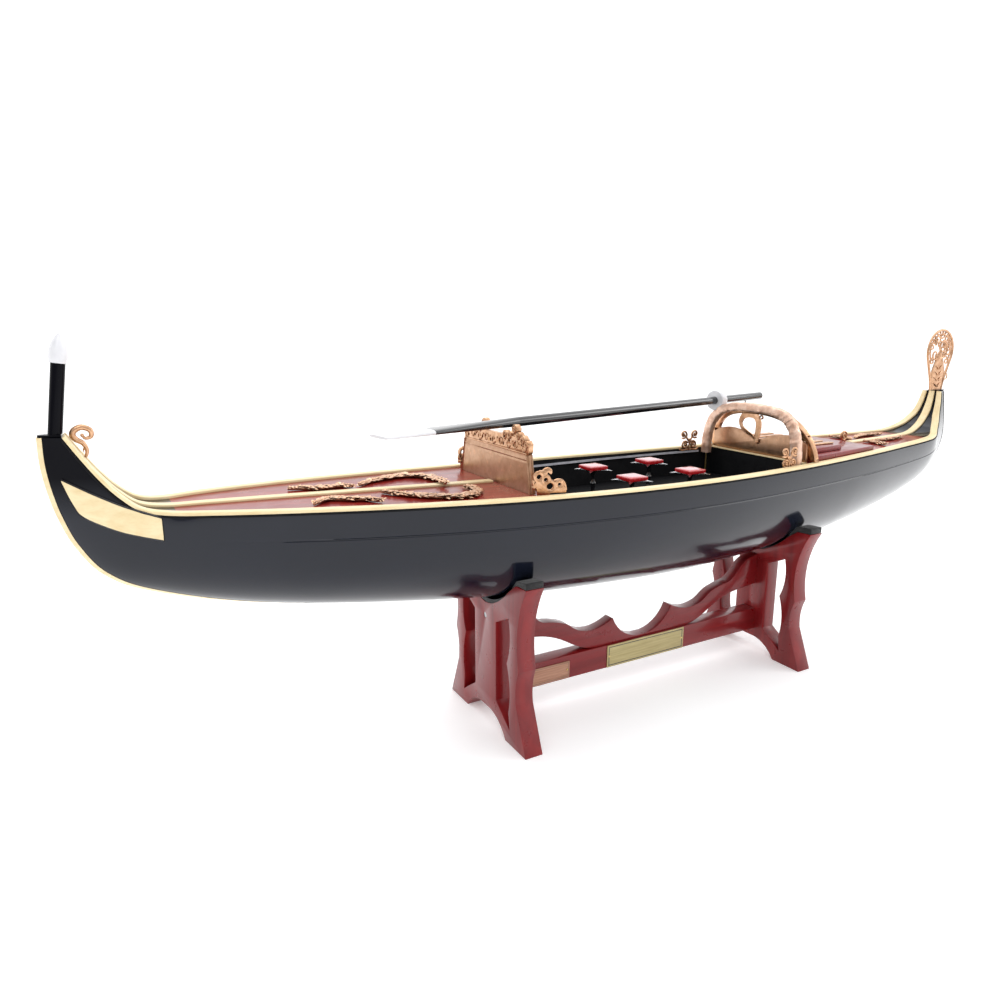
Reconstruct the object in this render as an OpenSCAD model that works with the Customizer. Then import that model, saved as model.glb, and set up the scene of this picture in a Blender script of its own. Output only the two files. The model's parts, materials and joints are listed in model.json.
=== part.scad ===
// Scale model of a Venetian gondola resting on a wooden display stand.
// Millimetres, +Z up, +X along the boat from the post end to the fan end.
// The origin is on the ground, under the middle of the whole model.

/* [Hull] */
// Greatest beam of the hull
beam = 157; // [145:1:165]
// Thickness of the planked hull skin
hull_wall = 3; // [2:0.5:3.5]
// Width of the keel and of the cream strip on the stem
keel_width = 5; // [4:0.5:6]
// Thickness of the deck boards
deck_thickness = 2.2; // [1.5:0.1:3]

/* [Trim strips] */
// Width of the cream strip along each gunwale
gunwale_width = 7; // [5:0.5:8]
// Height of the cream strips above the deck
strip_height = 2; // [1.2:0.1:2.5]
// Width of the strip along the middle of each deck
centre_strip_width = 8; // [5:0.5:9]

/* [Cockpit] */
// Height of the cockpit floor above the ground
floor_z = 176; // [170:1:185]
// Forward end of the cockpit
cockpit_x0 = -136; // [-140:1:-125]
// After end of the cockpit
cockpit_x1 = 141; // [135:1:145]
// Side of a stool's square seat
stool_side = 18.8; // [14:0.2:20]
// Thickness of a stool's seat
stool_seat_t = 3.4; // [2:0.2:5]
// Height of the stool tops above the ground
stool_top_z = 204; // [198:1:210]

/* [Seat back and hoops] */
// Height of the seat back above the deck, without its pierced crest
seat_back_h = 28; // [24:1:30]
// Half width of the seat back at the deck
seat_back_half = 56; // [50:1:58]
// Thickness of the seat back
seat_back_t = 6; // [4:0.5:7]
// Half width of the front hoop
front_hoop_half = 61; // [56:1:62]
// Height of the hoops' crown above the ground
hoop_top_z = 254; // [250:1:255]

/* [Oar] */
// Diameter of the oar's round shaft
oar_d = 7.6; // [6:0.2:8]
// Width of the oar's blade at its tip
blade_w = 24; // [18:1:28]
// Height of the oar's axis above the ground
oar_z = 252.4; // [252:0.1:253]

/* [Stand] */
// Distance between the middles of the two uprights
upright_span = 306; // [290:2:320]
// Thickness of each upright
upright_t = 15.7; // [12:0.1:18]
// Thickness of the lower rail
rail_t = 14.8; // [12:0.2:16]
// Thickness of the scroll-cut rail
scroll_t = 11; // [8:0.5:13]
// Height of the top of the lower rail
rail_top_z = 45.5; // [40:0.5:50]
// Thickness of the felt in the cradles
felt_t = 5.6; // [3:0.2:6]

/* [Hidden] */

slack = 0.05;          // gap left between pieces that are glued or pressed together
stand_x = 5.5;         // the stand sits a little aft of the model's middle
lift_gap = 0.4;        // gap between hull and felt, so that the boat lifts off
side_steps = 9;        // facets from keel to gunwale
station_steps = 2;     // facets between two rows of the lines plan

black = "#15161a";
cream = "#efdcae";
oxblood = "#7d2a28";
cherry = "#7c1f22";
gilt = "#b9835a";
bronze = "#cf9d86";
white = "#f4f4f6";
brass = "#c9b46a";

// The lines plan, one row a station from the post end to the fan end:
// gunwale x, half breadth, gunwale z, keel x, keel z.
LINES = [
    [-434.2, 9.5, 262, -446, 262],
    [-426.5, 11.5, 249, -446.2, 246],
    [-417.5, 14.5, 235.5, -444.4, 230],
    [-408.5, 18, 225, -440.8, 213.5],
    [-398, 22.5, 217, -434, 195],
    [-383, 28, 213.8, -421, 176],
    [-358, 37.5, 213, -397, 161.5],
    [-310, 50.5, 211.5, -342, 144],
    [-240, 63.5, 209, -260, 128.5],
    [-150, 73.8, 206, -150, 114],
    [-50, 78.5, 203.8, -50, 107.5],
    [50, 76.2, 202.6, 50, 105],
    [150, 68, 202.8, 150, 110.8],
    [240, 56.5, 203.8, 246, 119.8],
    [310, 45.2, 204.8, 330, 134.5],
    [358, 37.2, 205.8, 385, 149.5],
    [381.5, 31.5, 207.5, 412, 162],
    [396.5, 23.5, 214, 432.5, 178.5],
    [405.5, 18.5, 222, 441, 193],
    [411.5, 14.5, 231, 443.4, 208],
    [415.5, 12, 242, 439.6, 229],
    [417.5, 10, 253.3, 434.8, 253.3]
];
last_row = len(LINES) - 1;
bow_joint = 5;          // row where the solid bow head meets the planked hull
stern_joint = 16;       // row where the solid stern head meets it

// ---- small helpers -------------------------------------------------------

function clamp(v, low, high) = min(high, max(low, v));
function lerp(a, b, t) = a + (b - a) * t;
function unit(v) = v / norm(v);

// Smooth curve through four values, between the second and the third.
function blend4(a, b, c, d, t) =
    0.5 * (2 * b + (c - a) * t + (2 * a - 5 * b + 4 * c - d) * t * t + (3 * b - a - 3 * c + d) * t * t * t);

// Smooth curve through a list of points, at u from 0 to len - 1.
function along(pts, u) =
    let (last = len(pts) - 1, i = clamp(floor(u), 0, last - 1), t = u - i)
    blend4(pts[max(i - 1, 0)], pts[i], pts[i + 1], pts[min(i + 2, last)], t);

// The same curve as a list of points, with the given steps between each two.
function smooth(pts, steps) = [for (k = [0 : (len(pts) - 1) * steps]) along(pts, k / steps)];

// Points on the circular arc from a through b to c, without a itself.
function arc3(a, b, c, steps = 8) =
    let (
        d = 2 * (a[0] * (b[1] - c[1]) + b[0] * (c[1] - a[1]) + c[0] * (a[1] - b[1])),
        qa = a * a,
        qb = b * b,
        qc = c * c,
        cx = (qa * (b[1] - c[1]) + qb * (c[1] - a[1]) + qc * (a[1] - b[1])) / d,
        cy = (qa * (c[0] - b[0]) + qb * (a[0] - c[0]) + qc * (b[0] - a[0])) / d,
        r = norm(a - [cx, cy]),
        start = atan2(a[1] - cy, a[0] - cx),
        raw = atan2(c[1] - cy, c[0] - cx) - start,
        turn = d > 0 ? (raw < 0 ? raw + 360 : raw) : (raw > 0 ? raw - 360 : raw)
    )
    [for (k = [1 : steps])
        let (angle = start + turn * k / steps)
        [cx + r * cos(angle), cy + r * sin(angle)]];

// A closed solid through rings of equal length. Each ring runs anticlockwise
// when it is seen from the last ring's end. A hollow ring goes along an outer
// line and back along an inner one.
module skin(rings, hollow = false) {
    n = len(rings[0]);
    m = len(rings);
    sides = [
        for (k = [0 : m - 2], i = [0 : n - 1])
            let (a = k * n + i, b = k * n + (i + 1) % n, c = b + n, d = a + n)
            each [[a, d, c], [a, c, b]]
    ];
    near = hollow
        ? [for (i = [0 : n / 2 - 2]) [i, i + 1, n - 2 - i, n - 1 - i]]
        : [[for (i = [0 : n - 1]) i]];
    far = [for (face = near) [for (k = [len(face) - 1 : -1 : 0]) (m - 1) * n + face[k]]];
    polyhedron([for (r = rings) each r], concat(sides, near, far), convexity = 12);
}

// A bar of elliptic section along a path: radii a across and b along the
// reference direction, each a list with one value a point of the path.
module bar_along(path, a, b, up = [0, 1, 0], sides = 8) {
    last = len(path) - 1;
    skin([
        for (k = [0 : last])
            let (
                t = unit(path[min(k + 1, last)] - path[max(k - 1, 0)]),
                u = unit(cross(up, t)),
                v = cross(t, u)
            )
            [for (i = [0 : sides - 1])
                let (angle = 360 * i / sides)
                path[k] + a[k] * cos(angle) * u + b[k] * sin(angle) * v]
    ]);
}

// Both a piece on the port side and its mirror image on the starboard side.
module both_sides() {
    children();
    mirror([0, 1, 0])
        children();
}

// A flat shape drawn in x and z, standing across y, centred on y = 0.
module upright_sheet(thickness) {
    rotate([90, 0, 0])
        linear_extrude(height = thickness, center = true)
            children();
}

// A flat shape drawn in y and z, standing across x, centred on x = 0.
module cross_sheet(thickness) {
    rotate([90, 0, 90])
        linear_extrude(height = thickness, center = true)
            children();
}

// ---- hull surface --------------------------------------------------------

function station(s) = let (r = along(LINES, s)) [r[0], r[1] * beam / 157, r[2], r[3], r[4]];
function fullness(b) = clamp((b - 9) / 50, 0, 1);

// Half breadth at height fraction t of a station whose half breadth is b.
function half_at(b, t, inset) =
    let (f = fullness(b), hw = keel_width / 2)
    hw + (b - inset - hw) * pow(1 - pow(1 - t, 1 + 0.8 * f), 0.9 - 0.34 * f);

function hull_point(s, t, side, inset = 0) =
    let (
        r = station(s),
        foot = [r[3], r[4]] + inset * unit([r[0] - r[3], r[2] - r[4]])
    )
    [lerp(foot[0], r[0], t), side * half_at(r[1], t, inset), lerp(foot[1], r[2], t)];

steps_t = [for (j = [0 : side_steps]) pow(j / side_steps, 1.6)];
function hull_ring(s, inset = 0) = concat(
    [for (j = [side_steps : -1 : 0]) hull_point(s, steps_t[j], -1, inset)],
    [for (j = [0 : side_steps]) hull_point(s, steps_t[j], 1, inset)]
);
function reversed(list) = [for (i = [len(list) - 1 : -1 : 0]) list[i]];
function rows(s0, s1) = [for (k = [0 : (s1 - s0) * station_steps]) s0 + k / station_steps];

// Where a station line passes through a point of the centre plane.
function line_side(s, x, z) =
    let (r = station(s)) (r[0] - r[3]) * (z - r[4]) - (r[2] - r[4]) * (x - r[3]);
function find_line(x, z, low, high, n = 22) =
    n == 0 ? (low + high) / 2 :
    let (mid = (low + high) / 2)
    (line_side(mid, x, z) > 0) ? find_line(x, z, low, mid, n - 1) : find_line(x, z, mid, high, n - 1);
function find_column(x, column, low = 0, high = last_row, n = 22) =
    n == 0 ? (low + high) / 2 :
    let (mid = (low + high) / 2)
    station(mid)[column] > x
        ? find_column(x, column, low, mid, n - 1)
        : find_column(x, column, mid, high, n - 1);

// Half breadth of the hull at a point of its side.
function hull_half(x, z) =
    let (
        s = find_line(x, z, 0, last_row),
        r = station(s),
        t = clamp((z - r[4]) / (r[2] - r[4] + 0.0001), 0, 1),
        tx = clamp((x - r[3]) / (r[0] - r[3] + 0.0001), 0, 1)
    )
    half_at(r[1], abs(r[2] - r[4]) > abs(r[0] - r[3]) ? t : tx, 0);
function gunwale_at(x) = station(find_column(x, 0));
function keel_z(x) = station(find_column(x, 3, 2, 19))[4];

// Height of the hull's skin at a distance y from the middle, on a station
// whose plane is upright.
function skin_z(x, y) =
    let (
        r = gunwale_at(x),
        f = fullness(r[1]),
        hw = keel_width / 2,
        part = clamp((abs(y) - hw) / (r[1] - hw), 0, 1),
        t = 1 - pow(1 - pow(part, 1 / (0.9 - 0.34 * f)), 1 / (1 + 0.8 * f))
    )
    lerp(r[4], r[2], t);

// A point above the gunwale line: y across and h along the line's normal.
function deck_point(s, y, h) =
    let (
        r = station(s),
        a = station(max(s - 0.05, 0)),
        b = station(min(s + 0.05, last_row)),
        t = unit([b[0] - a[0], b[2] - a[2]])
    )
    [r[0] - t[1] * h, y, r[2] + t[0] * h];

// A point outside the keel line: y across and h outward.
function keel_point(s, y, h) =
    let (
        r = station(s),
        a = station(max(s - 0.05, 0)),
        b = station(min(s + 0.05, last_row)),
        t = unit([b[3] - a[3], b[4] - a[4]])
    )
    [r[3] + t[1] * h, y, r[4] - t[0] * h];

function strip_width(b) = min(gunwale_width, 0.42 * b);
function centre_half(b) = min(centre_strip_width / 2, 0.29 * b);

// Stations from x0 to x1 along the gunwale, with their ends exact.
function deck_rows(x0, x1) =
    let (
        s0 = find_column(x0, 0),
        s1 = find_column(x1, 0),
        first = ceil(s0 * station_steps + 0.1),
        final = floor(s1 * station_steps - 0.1)
    )
    concat([s0], [for (k = [first : final]) k / station_steps], [s1]);

// An upright plate across the hull from z0 to z1, fitted to the inside of the planks.
module section_plate(x, thickness, z0, z1) {
    width = beam + 20;
    intersection() {
        translate([x - thickness / 2, -width / 2, z0])
            cube([thickness, width, z1 - z0]);
        skin([for (s = rows(bow_joint, stern_joint)) hull_ring(s, hull_wall + plate_gap)]);
    }
}

// ---- hull pieces ---------------------------------------------------------

module hull_shell() {
    color(black)
        skin([
            for (s = rows(bow_joint, stern_joint))
                concat(hull_ring(s), reversed(hull_ring(s, hull_wall)))
        ], hollow = true);
}

post_lean = 8.7;                    // lean of the post towards the deck, in degrees
post_foot = [-437.6, 0, 263.5];     // foot of the post, on the bow cap
post_tang_d = 4;
post_tang_l = 12;
module bow_head() {
    color(black)
        difference() {
            skin([for (s = rows(0, bow_joint)) hull_ring(s)]);
            translate(post_foot)
                rotate([0, post_lean, 0])
                    translate([0, 0, -post_tang_l - 1])
                        cylinder(d = post_tang_d + 2 * slack, h = post_tang_l + 4, $fn = 32);
        }
}

module stern_head() {
    color(black)
        skin([for (s = rows(stern_joint, last_row)) hull_ring(s)]);
}

backbone_t = 4;
backbone_h = 9;
backbone_x = [-372, 372];
module keel_backbone() {
    steps = 30;
    color("#a8825a")
        skin([
            for (k = [0 : steps])
                let (
                    x = lerp(backbone_x[0], backbone_x[1], k / steps),
                    z = keel_z(x) + hull_wall + 0.8,
                    half = backbone_t / 2
                )
                [[x, -half, z], [x, half, z], [x, half, z + backbone_h], [x, -half, z + backbone_h]]
        ]);
}

frame_t = 4;
plate_gap = 0.3;
side_inset = hull_wall + 1.4;      // from the hull's outside to the cockpit's floor and walls
function frame_foot(x) = keel_z(x) + hull_wall + backbone_h + 1.6;
module hull_frames() {
    color("#b89468") {
        for (x = [-330, -270, -205, 200, 262, 322])
            section_plate(x, frame_t, frame_foot(x), gunwale_at(x)[2] - deck_thickness - 1.2);
        for (x = [-88, -34, 20, 74, 116])
            section_plate(x, frame_t, frame_foot(x), floor_z - 2.3);
    }
}

bulkhead_t = 4;
// The forward bulkhead ends under the deck, the after one shows at the deck's end.
module cockpit_bulkheads() {
    fore = cockpit_x0 - bulkhead_t / 2 - slack;
    aft = cockpit_x1 + bulkhead_t / 2 + slack;
    color(black) {
        section_plate(fore, bulkhead_t, frame_foot(fore), gunwale_at(fore)[2] - deck_thickness - 0.3);
        section_plate(aft, bulkhead_t, frame_foot(aft), gunwale_at(aft)[2] - slack);
    }
}

module keel_band(s_values, height) {
    half = keel_width / 2;
    skin([
        for (s = s_values)
            [keel_point(s, -half, height), keel_point(s, half, height),
             keel_point(s, half, slack), keel_point(s, -half, slack)]
    ]);
}

shoe_x0 = -300;         // the cream stem strip ends here and the dark shoe begins
shoe_x1 = -196;         // the shoe leaves out the part of the keel that rests on the stand
shoe_x2 = 190;
function keel_rows(s0, s1) =
    concat([s0], [for (k = [ceil(s0 * 2 + 0.1) : floor(s1 * 2 - 0.1)]) k / 2], [s1]);
module stem_strip() {
    color(cream)
        keel_band(keel_rows(0, find_column(shoe_x0, 3)), 1.4);
}
module keel_shoe() {
    color(black) {
        keel_band(keel_rows(find_column(shoe_x0 + slack, 3), find_column(shoe_x1, 3)), 1.4);
        keel_band(keel_rows(find_column(shoe_x2, 3, 0, 18), last_row - 0.1), 1.4);
    }
}

// Upper and lower edges of the cream panels on the bow: x and z.
wing_top = [[-437.5, 237], [-428.5, 231.5], [-419, 226], [-409, 220.8], [-398.7, 216.4], [-388, 212.4]];
wing_low = [[-437.5, 236], [-433, 222.5], [-428, 214.5], [-412, 206], [-400, 202], [-388, 199]];
wing_gap = 0.25;
wing_t = 0.9;
function wing_point(p, out) = [p[0], hull_half(p[0], p[1]) + out, p[1]];
module wing_panels() {
    steps = 2;
    top = smooth(wing_top, steps);
    low = smooth(wing_low, steps);
    color(cream)
        both_sides()
            skin([
                for (k = [0 : len(top) - 1])
                    let (mid = (top[k] + low[k]) / 2)
                    [wing_point(low[k], wing_gap), wing_point(low[k], wing_gap + wing_t),
                     wing_point(mid, wing_gap + wing_t), wing_point(top[k], wing_gap + wing_t),
                     wing_point(top[k], wing_gap), wing_point(mid, wing_gap)]
            ]);
}

module deck_board(x0, x1) {
    skin([
        for (s = deck_rows(x0, x1))
            let (half = station(s)[1] - hull_wall - 0.6)
            [deck_point(s, -half, -deck_thickness), deck_point(s, half, -deck_thickness),
             deck_point(s, half, 0), deck_point(s, -half, 0)]
    ]);
}
deck_ends = [-379, 375];        // the red decks stop at the swept-up heads
module bow_deck() {
    color(oxblood)
        deck_board(deck_ends[0], cockpit_x0);
}
module stern_deck() {
    color(oxblood)
        deck_board(cockpit_x1 + bulkhead_t + 3 * slack, deck_ends[1]);
}

module gunwale() {
    skin([
        for (s = rows(0, last_row))
            let (b = station(s)[1], w = strip_width(b))
            [deck_point(s, b - w, slack), deck_point(s, b + 0.4, slack),
             deck_point(s, b + 0.4, strip_height), deck_point(s, b - w, strip_height)]
    ]);
}
module gunwale_port() {
    color(cream)
        gunwale();
}
module gunwale_starboard() {
    color(cream)
        mirror([0, 1, 0])
            gunwale();
}

module centre_strip(s_values) {
    skin([
        for (s = s_values)
            let (half = centre_half(station(s)[1]))
            [deck_point(s, -half, slack), deck_point(s, half, slack),
             deck_point(s, half, strip_height - 0.4), deck_point(s, -half, strip_height - 0.4)]
    ]);
}
seat_back_x = -148;             // face of the seat back towards the bow
centre_gap = 1.5;               // bare deck between the strip and the seat back
stern_strip_x = 280;            // the stern strip starts behind the deck ring
module bow_centre_strip() {
    color(cream)
        centre_strip(concat(rows(0, 8), [8.5, find_column(seat_back_x - centre_gap, 0)]));
}
module stern_centre_strip() {
    s0 = find_column(stern_strip_x, 0);
    color(cream)
        centre_strip(concat([s0], rows(14, last_row)));
}

// ---- cockpit -------------------------------------------------------------

module cockpit_floor() {
    steps = 10;
    thickness = 2;
    color(black)
        skin([
            for (k = [0 : steps])
                let (
                    x = lerp(cockpit_x0, cockpit_x1, k / steps),
                    half = hull_half(x, floor_z - thickness) - side_inset
                )
                [[x, -half, floor_z - thickness], [x, half, floor_z - thickness],
                 [x, half, floor_z], [x, -half, floor_z]]
        ]);
}

lining_t = 1.6;
ledge_low = 198.4;
ledge_top = 200.2;
// Outer face of the cockpit's lining at a height: it leans out with the hull.
function lining_out(x, z) =
    let (low = hull_half(x, floor_z) - side_inset, r = gunwale_at(x))
    lerp(low, r[1] - gunwale_width + 1.4, (z - floor_z) / (r[2] - floor_z));
function lining_top(x) = gunwale_at(x)[2] - 0.15;
module wall_band(xs, low, high, out, thickness) {
    both_sides()
        skin([
            for (k = [0 : len(xs) - 1])
                let (x = xs[k], y0 = lining_out(x, low[k]) + out, y1 = lining_out(x, high[k]) + out)
                [
                    [x, y0 - thickness, low[k]], [x, y0, low[k]],
                    [x, y1, high[k]], [x, y1 - thickness, high[k]]
                ]
        ]);
}
wall_steps = 10;
wall_x = [for (k = [0 : wall_steps]) lerp(cockpit_x0, cockpit_x1, k / wall_steps)];
module cockpit_lining() {
    low = [for (x = wall_x) floor_z + slack];
    high = [for (x = wall_x) lining_top(x)];
    color(black)
        wall_band(wall_x, low, high, 0, lining_t);
}
module cockpit_ledges() {
    depth = 1.4;
    end_x = front_hoop_x - hoop_depth / 2 - 0.6;
    xs = [for (k = [0 : wall_steps]) lerp(cockpit_x0, end_x, k / wall_steps)];
    color("#d9d9de")
        wall_band(xs, [for (x = xs) ledge_low], [for (x = xs) ledge_top], -lining_t - slack, depth);
}

// Stool places: x and y of each middle.
STOOLS = [[-31.2, -27.2], [-31.2, 27.2], [32.7, -27.2], [32.7, 27.2]];
module stool_seat(i) {
    color("#c0272d")
        translate([STOOLS[i][0], STOOLS[i][1], stool_top_z - stool_seat_t / 2])
            cube([stool_side, stool_side, stool_seat_t], center = true);
}
module stool_seat_1() { stool_seat(0); }
module stool_seat_2() { stool_seat(1); }
module stool_seat_3() { stool_seat(2); }
module stool_seat_4() { stool_seat(3); }

stand_plate_t = 0.8;
stool_point = 12.6;             // reach of the plate's four points along x and y
stool_waist = 7.6;              // half width of the plate between its points
module stool_stands() {
    plate_z = stool_top_z - stool_seat_t - stand_plate_t - slack;
    star = [
        for (q = [0 : 3])
            let (a = 45 + 90 * q)
            each [stool_point * sqrt(2) * [cos(a), sin(a)], stool_waist * [cos(a + 45), sin(a + 45)]]
    ];
    color("#d8dade")
        for (p = STOOLS)
            translate([p[0], p[1], 0]) {
                translate([0, 0, plate_z])
                    linear_extrude(height = stand_plate_t)
                        polygon(star);
                translate([0, 0, floor_z + slack])
                    cylinder(r = 2, h = plate_z - floor_z, $fn = 32);
                translate([0, 0, floor_z + slack])
                    cylinder(r = 5.5, h = 1.6, $fn = 40);
            }
}

// ---- seat back and its scrolls -------------------------------------------

seat_back_z = gunwale_at(seat_back_x + seat_back_t / 2)[2] + 0.15;
function seat_edge(half, top) = [[half, 0], [half - 1.2, 8], [half - 3.2, 18], [half - 5, top]];
module seat_back() {
    edge = smooth(seat_edge(seat_back_half, seat_back_h), 4);
    mirrored = [for (p = reversed(edge)) [-p[0], p[1]]];
    color(gilt)
        translate([seat_back_x + seat_back_t / 2, 0, seat_back_z])
            cross_sheet(seat_back_t)
                polygon(concat(edge, mirrored));
}

crest_t = 4;
// Outline of the pierced crest's band above the seat back: y and height.
CREST_BAND = [
    [-50.6, 0], [50.6, 0], [49.4, 8.6], [38, 10.4], [0, 11.2],
    [-36, 11.2], [-47, 9], [-52.6, 7], [-52.4, 3]
];
// Lobes on top of the band: y, height of the middle and radius. The low part
// between the middle and the starboard lobes leaves room for the oar.
CREST = [
    [-49, 7.4, 3], [-43, 9.6, 3.8], [-37, 12, 3.2], [-31.5, 16.4, 3.8], [-24.5, 11.4, 3.2],
    [-17, 10.8, 3.7], [16, 16.5, 3.8], [22.6, 11.2, 3.2], [30, 9.2, 3.8]
];
// Round holes through the crest: y and height.
CREST_HOLES = [
    [-43, 6.4], [-31.5, 13.6], [-31, 5], [-24, 7.6], [-17, 9.4], [-15, 4.2], [-9, 5], [5, 4.6],
    [16, 13.6], [18.6, 5.2], [32, 5.6], [43, 4.4]
];
module seat_crest() {
    color(gilt)
        translate([seat_back_x + seat_back_t / 2, 0, seat_back_z + seat_back_h + slack])
            cross_sheet(crest_t)
                difference() {
                    union() {
                        polygon(CREST_BAND);
                        for (c = CREST)
                            translate([c[0], c[1]])
                                circle(r = c[2], $fn = 32);
                    }
                    for (h = CREST_HOLES)
                        translate([h[0], h[1]])
                            circle(r = 1.3, $fn = 20);
                }
}

// The arm scrolls run from the ends of the seat back out to the gunwale strips.
arm_foot = [-148, 60.5];
arm_turn = 16.2;
function strip_top(x) = gunwale_at(x)[2] + strip_height + slack;
module arm_scrolls() {
    deck_step = strip_height - 0.1;
    // Round lobes of the plate: u and height of the middle, radius, radius of the hole.
    lobes = [[4.2, 12, 4.1, 1.9], [9.2, 9.8, 3.8, 1.6], [12.4, 4.8, 4.7, 2.8], [19.4, 6, 3.8, 1.3]];
    hook = smooth([
        [7, 12], [8.2, 16.4], [11.2, 17.8], [13.8, 16], [13.2, 13.8],
        [11.6, 14.6], [11, 15.2], [10.2, 14.2], [10.4, 11.5]
    ], 3);
    color(gilt)
        both_sides()
            translate([arm_foot[0], arm_foot[1], strip_top(arm_foot[0]) + 0.1])
                rotate([0, 0, arm_turn])
                    upright_sheet(2.4)
                        difference() {
                            union() {
                                polygon([
                                    [3.1, -deck_step], [12.4, -deck_step], [12.4, 0], [24.6, 0],
                                    [24.2, 3.4], [21, 6], [12, 6], [3.4, 11], [0.4, 6.2], [2.4, 3.4]
                                ]);
                                polygon(hook);
                                for (c = lobes)
                                    translate([c[0], c[1]])
                                        circle(r = c[2], $fn = 36);
                            }
                            for (c = lobes)
                                translate([c[0], c[1]])
                                    circle(r = c[3], $fn = 28);
                        }
}

// ---- hoops and rear board ------------------------------------------------

front_hoop_x = 131.5;
front_hoop_z = 198.6;           // underside of the front hoop's feet
rear_hoop_x = 150.2;
rear_hoop_z = gunwale_at(rear_hoop_x)[2] + strip_height + 3 * slack;    // it stands on the gunwales
hoop_depth = 8;
rear_depth = 5;
rear_lean = 14;                 // the rear hoop leans forward against the front one
// Arch in y and z from the foot at -half to the foot at +half. The two powers
// say how full the starboard and the port shoulder are.
function arch(half, height, star, port, steps = 36) = [
    for (k = [0 : steps])
        let (a = 180 - 180 * k / steps, c = cos(a), power = c < 0 ? star : port)
        [half * sign(c) * pow(abs(c), 2 / power), height * pow(sin(a), 2 / power)]
];
module hoop(half, height, star, port, band, crown) {
    outer = arch(half, height, star, port);
    inner = arch(half - band, height - crown, star + 0.2, port + 0.3);
    polygon(concat(outer, reversed(inner)));
}
module front_hoop() {
    color(bronze)
        difference() {
            translate([front_hoop_x, 0, front_hoop_z])
                cross_sheet(hoop_depth)
                    hoop(front_hoop_half, hoop_top_z - front_hoop_z, 3.6, 2.8, 11.5, 9.5);
            translate([collar_at[0], collar_at[1], oar_z])
                sphere(r = collar_r + 2 * slack, $fn = 48);
        }
}
pin_y = front_hoop_half - 6;
module hoop_pins() {
    color(brass)
        both_sides()
            translate([front_hoop_x, pin_y, floor_z + slack])
                cylinder(d = 1.8, h = front_hoop_z - floor_z - 2 * slack, $fn = 24);
}
module rear_hoop() {
    half = 63.6;
    band = 7.5;
    crown = 8;
    power = 2.2;            // roundness of both shoulders
    crown_drop = 1.6;       // how much lower it is than the front hoop
    foot_pad = 2.2;         // extra length that the cut takes off square
    below = 12;             // depth of the cut that levels the feet
    notch_z = board_top[3][1] + 6;
    notch_drop = 3;
    color(gilt)
        difference() {
            translate([rear_hoop_x, 0, rear_hoop_z])
                rotate([0, -rear_lean, 0])
                    cross_sheet(rear_depth)
                        union() {
                            hoop(half, hoop_top_z - crown_drop - rear_hoop_z, power, power, band, crown);
                            for (side = [-1, 1])
                                translate([side * (half - band / 2), -1])
                                    square([band, foot_pad], center = true);
                        }
            translate([rear_hoop_x, 0, rear_hoop_z - below / 2])
                cube([4 * below, 3 * half, below], center = true);
            translate([board_x, 0, board_z - notch_drop + notch_z / 2])
                cube([board_t + 0.4, 2 * board_half + 0.4, notch_z], center = true);
        }
}

board_x = 144.8;
board_t = 3;
board_half = 57;
board_z = gunwale_at(board_x)[2] + 1.45;
// Upper edge of the rear board's starboard half: y and height.
board_top = [[0, 14], [7, 16], [16, 19.5], [27, 21.4], [38, 21.8], [49, 19.6], [board_half, 15.8]];
module rear_board() {
    edge = smooth(board_top, 4);
    mirrored = [for (p = reversed(edge)) if (p[0] > 0) [-p[0], p[1]]];
    color(gilt)
        translate([board_x, 0, board_z])
            cross_sheet(board_t)
                polygon(concat([[-board_half, 0], [board_half, 0]], reversed(edge), reversed(mirrored)));
}
module board_sill() {
    sill_w = 5;
    sill_t = 1.3;
    color(cream)
        translate([board_x - sill_w / 2 + 0.5, 0, board_z - sill_t / 2 - slack])
            cube([sill_w, 2 * board_half, sill_t], center = true);
}

ribbon_t = 1.8;
module ribbon_scroll() {
    foot_z = board_z + 10;
    loop_at = [13.5, 232.5];
    eye_at = [12.4, 233];
    curl_at = [-4, 239.4];
    color(gilt)
        translate([board_x - board_t / 2 - ribbon_t / 2 - 0.3, 0, 0])
            cross_sheet(ribbon_t)
                difference() {
                    union() {
                        polygon([
                            [-1.6, foot_z], [1.8, foot_z], [4, 219.4], [10, 222.4], [13.5, 232.5],
                            [8, 241.6], [3, 242.6], [-4, 242], [-4.4, 236], [-3.4, 226]
                        ]);
                        translate(loop_at)
                            circle(r = 10.4, $fn = 40);
                        translate(curl_at)
                            circle(r = 3, $fn = 28);
                    }
                    translate(eye_at)
                        circle(r = 5.6, $fn = 36);
                }
}

// The sea horses stand on the pale ledges and follow their line in plan.
horse_at = [114.5, 62.75];
horse_turn = -4.9;
module wire_ring(r, wire) {
    rotate([90, 0, 0])
        rotate_extrude($fn = 48)
            translate([r, 0])
                circle(r = wire, $fn = 16);
}
module sea_horses() {
    wire = 0.9;
    color(gilt)
        both_sides()
            translate([horse_at[0], horse_at[1], ledge_top + slack])
                rotate([0, 0, horse_turn]) {
                    for (ring = [[-7, 17, 4.2], [7, 17, 4.2], [-5.2, 6.4, 4], [5.2, 6.4, 4]])
                        translate([ring[0], 0, ring[1]])
                            wire_ring(ring[2], wire);
                    translate([0, 0, 5.6])
                        cube([2.6, 1.8, 11.2], center = true);
                    translate([0, 0, 11.8])
                        cube([12, 1.8, 2], center = true);
                }
}

// ---- oar -----------------------------------------------------------------

oar_turn = 11.13;               // the oar crosses the boat at this angle
collar_at = [front_hoop_x, 45];
collar_r = 10.3;
bore_gap = 0.09;
tip_l = 41;
blade_end = 125;                // where the blade has become the round shaft
oar_fore = -391;                // tip of the blade, along the oar from the collar
oar_aft = 78;
module on_oar() {
    translate([collar_at[0], collar_at[1], oar_z])
        rotate([0, 0, oar_turn])
            children();
}
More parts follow.
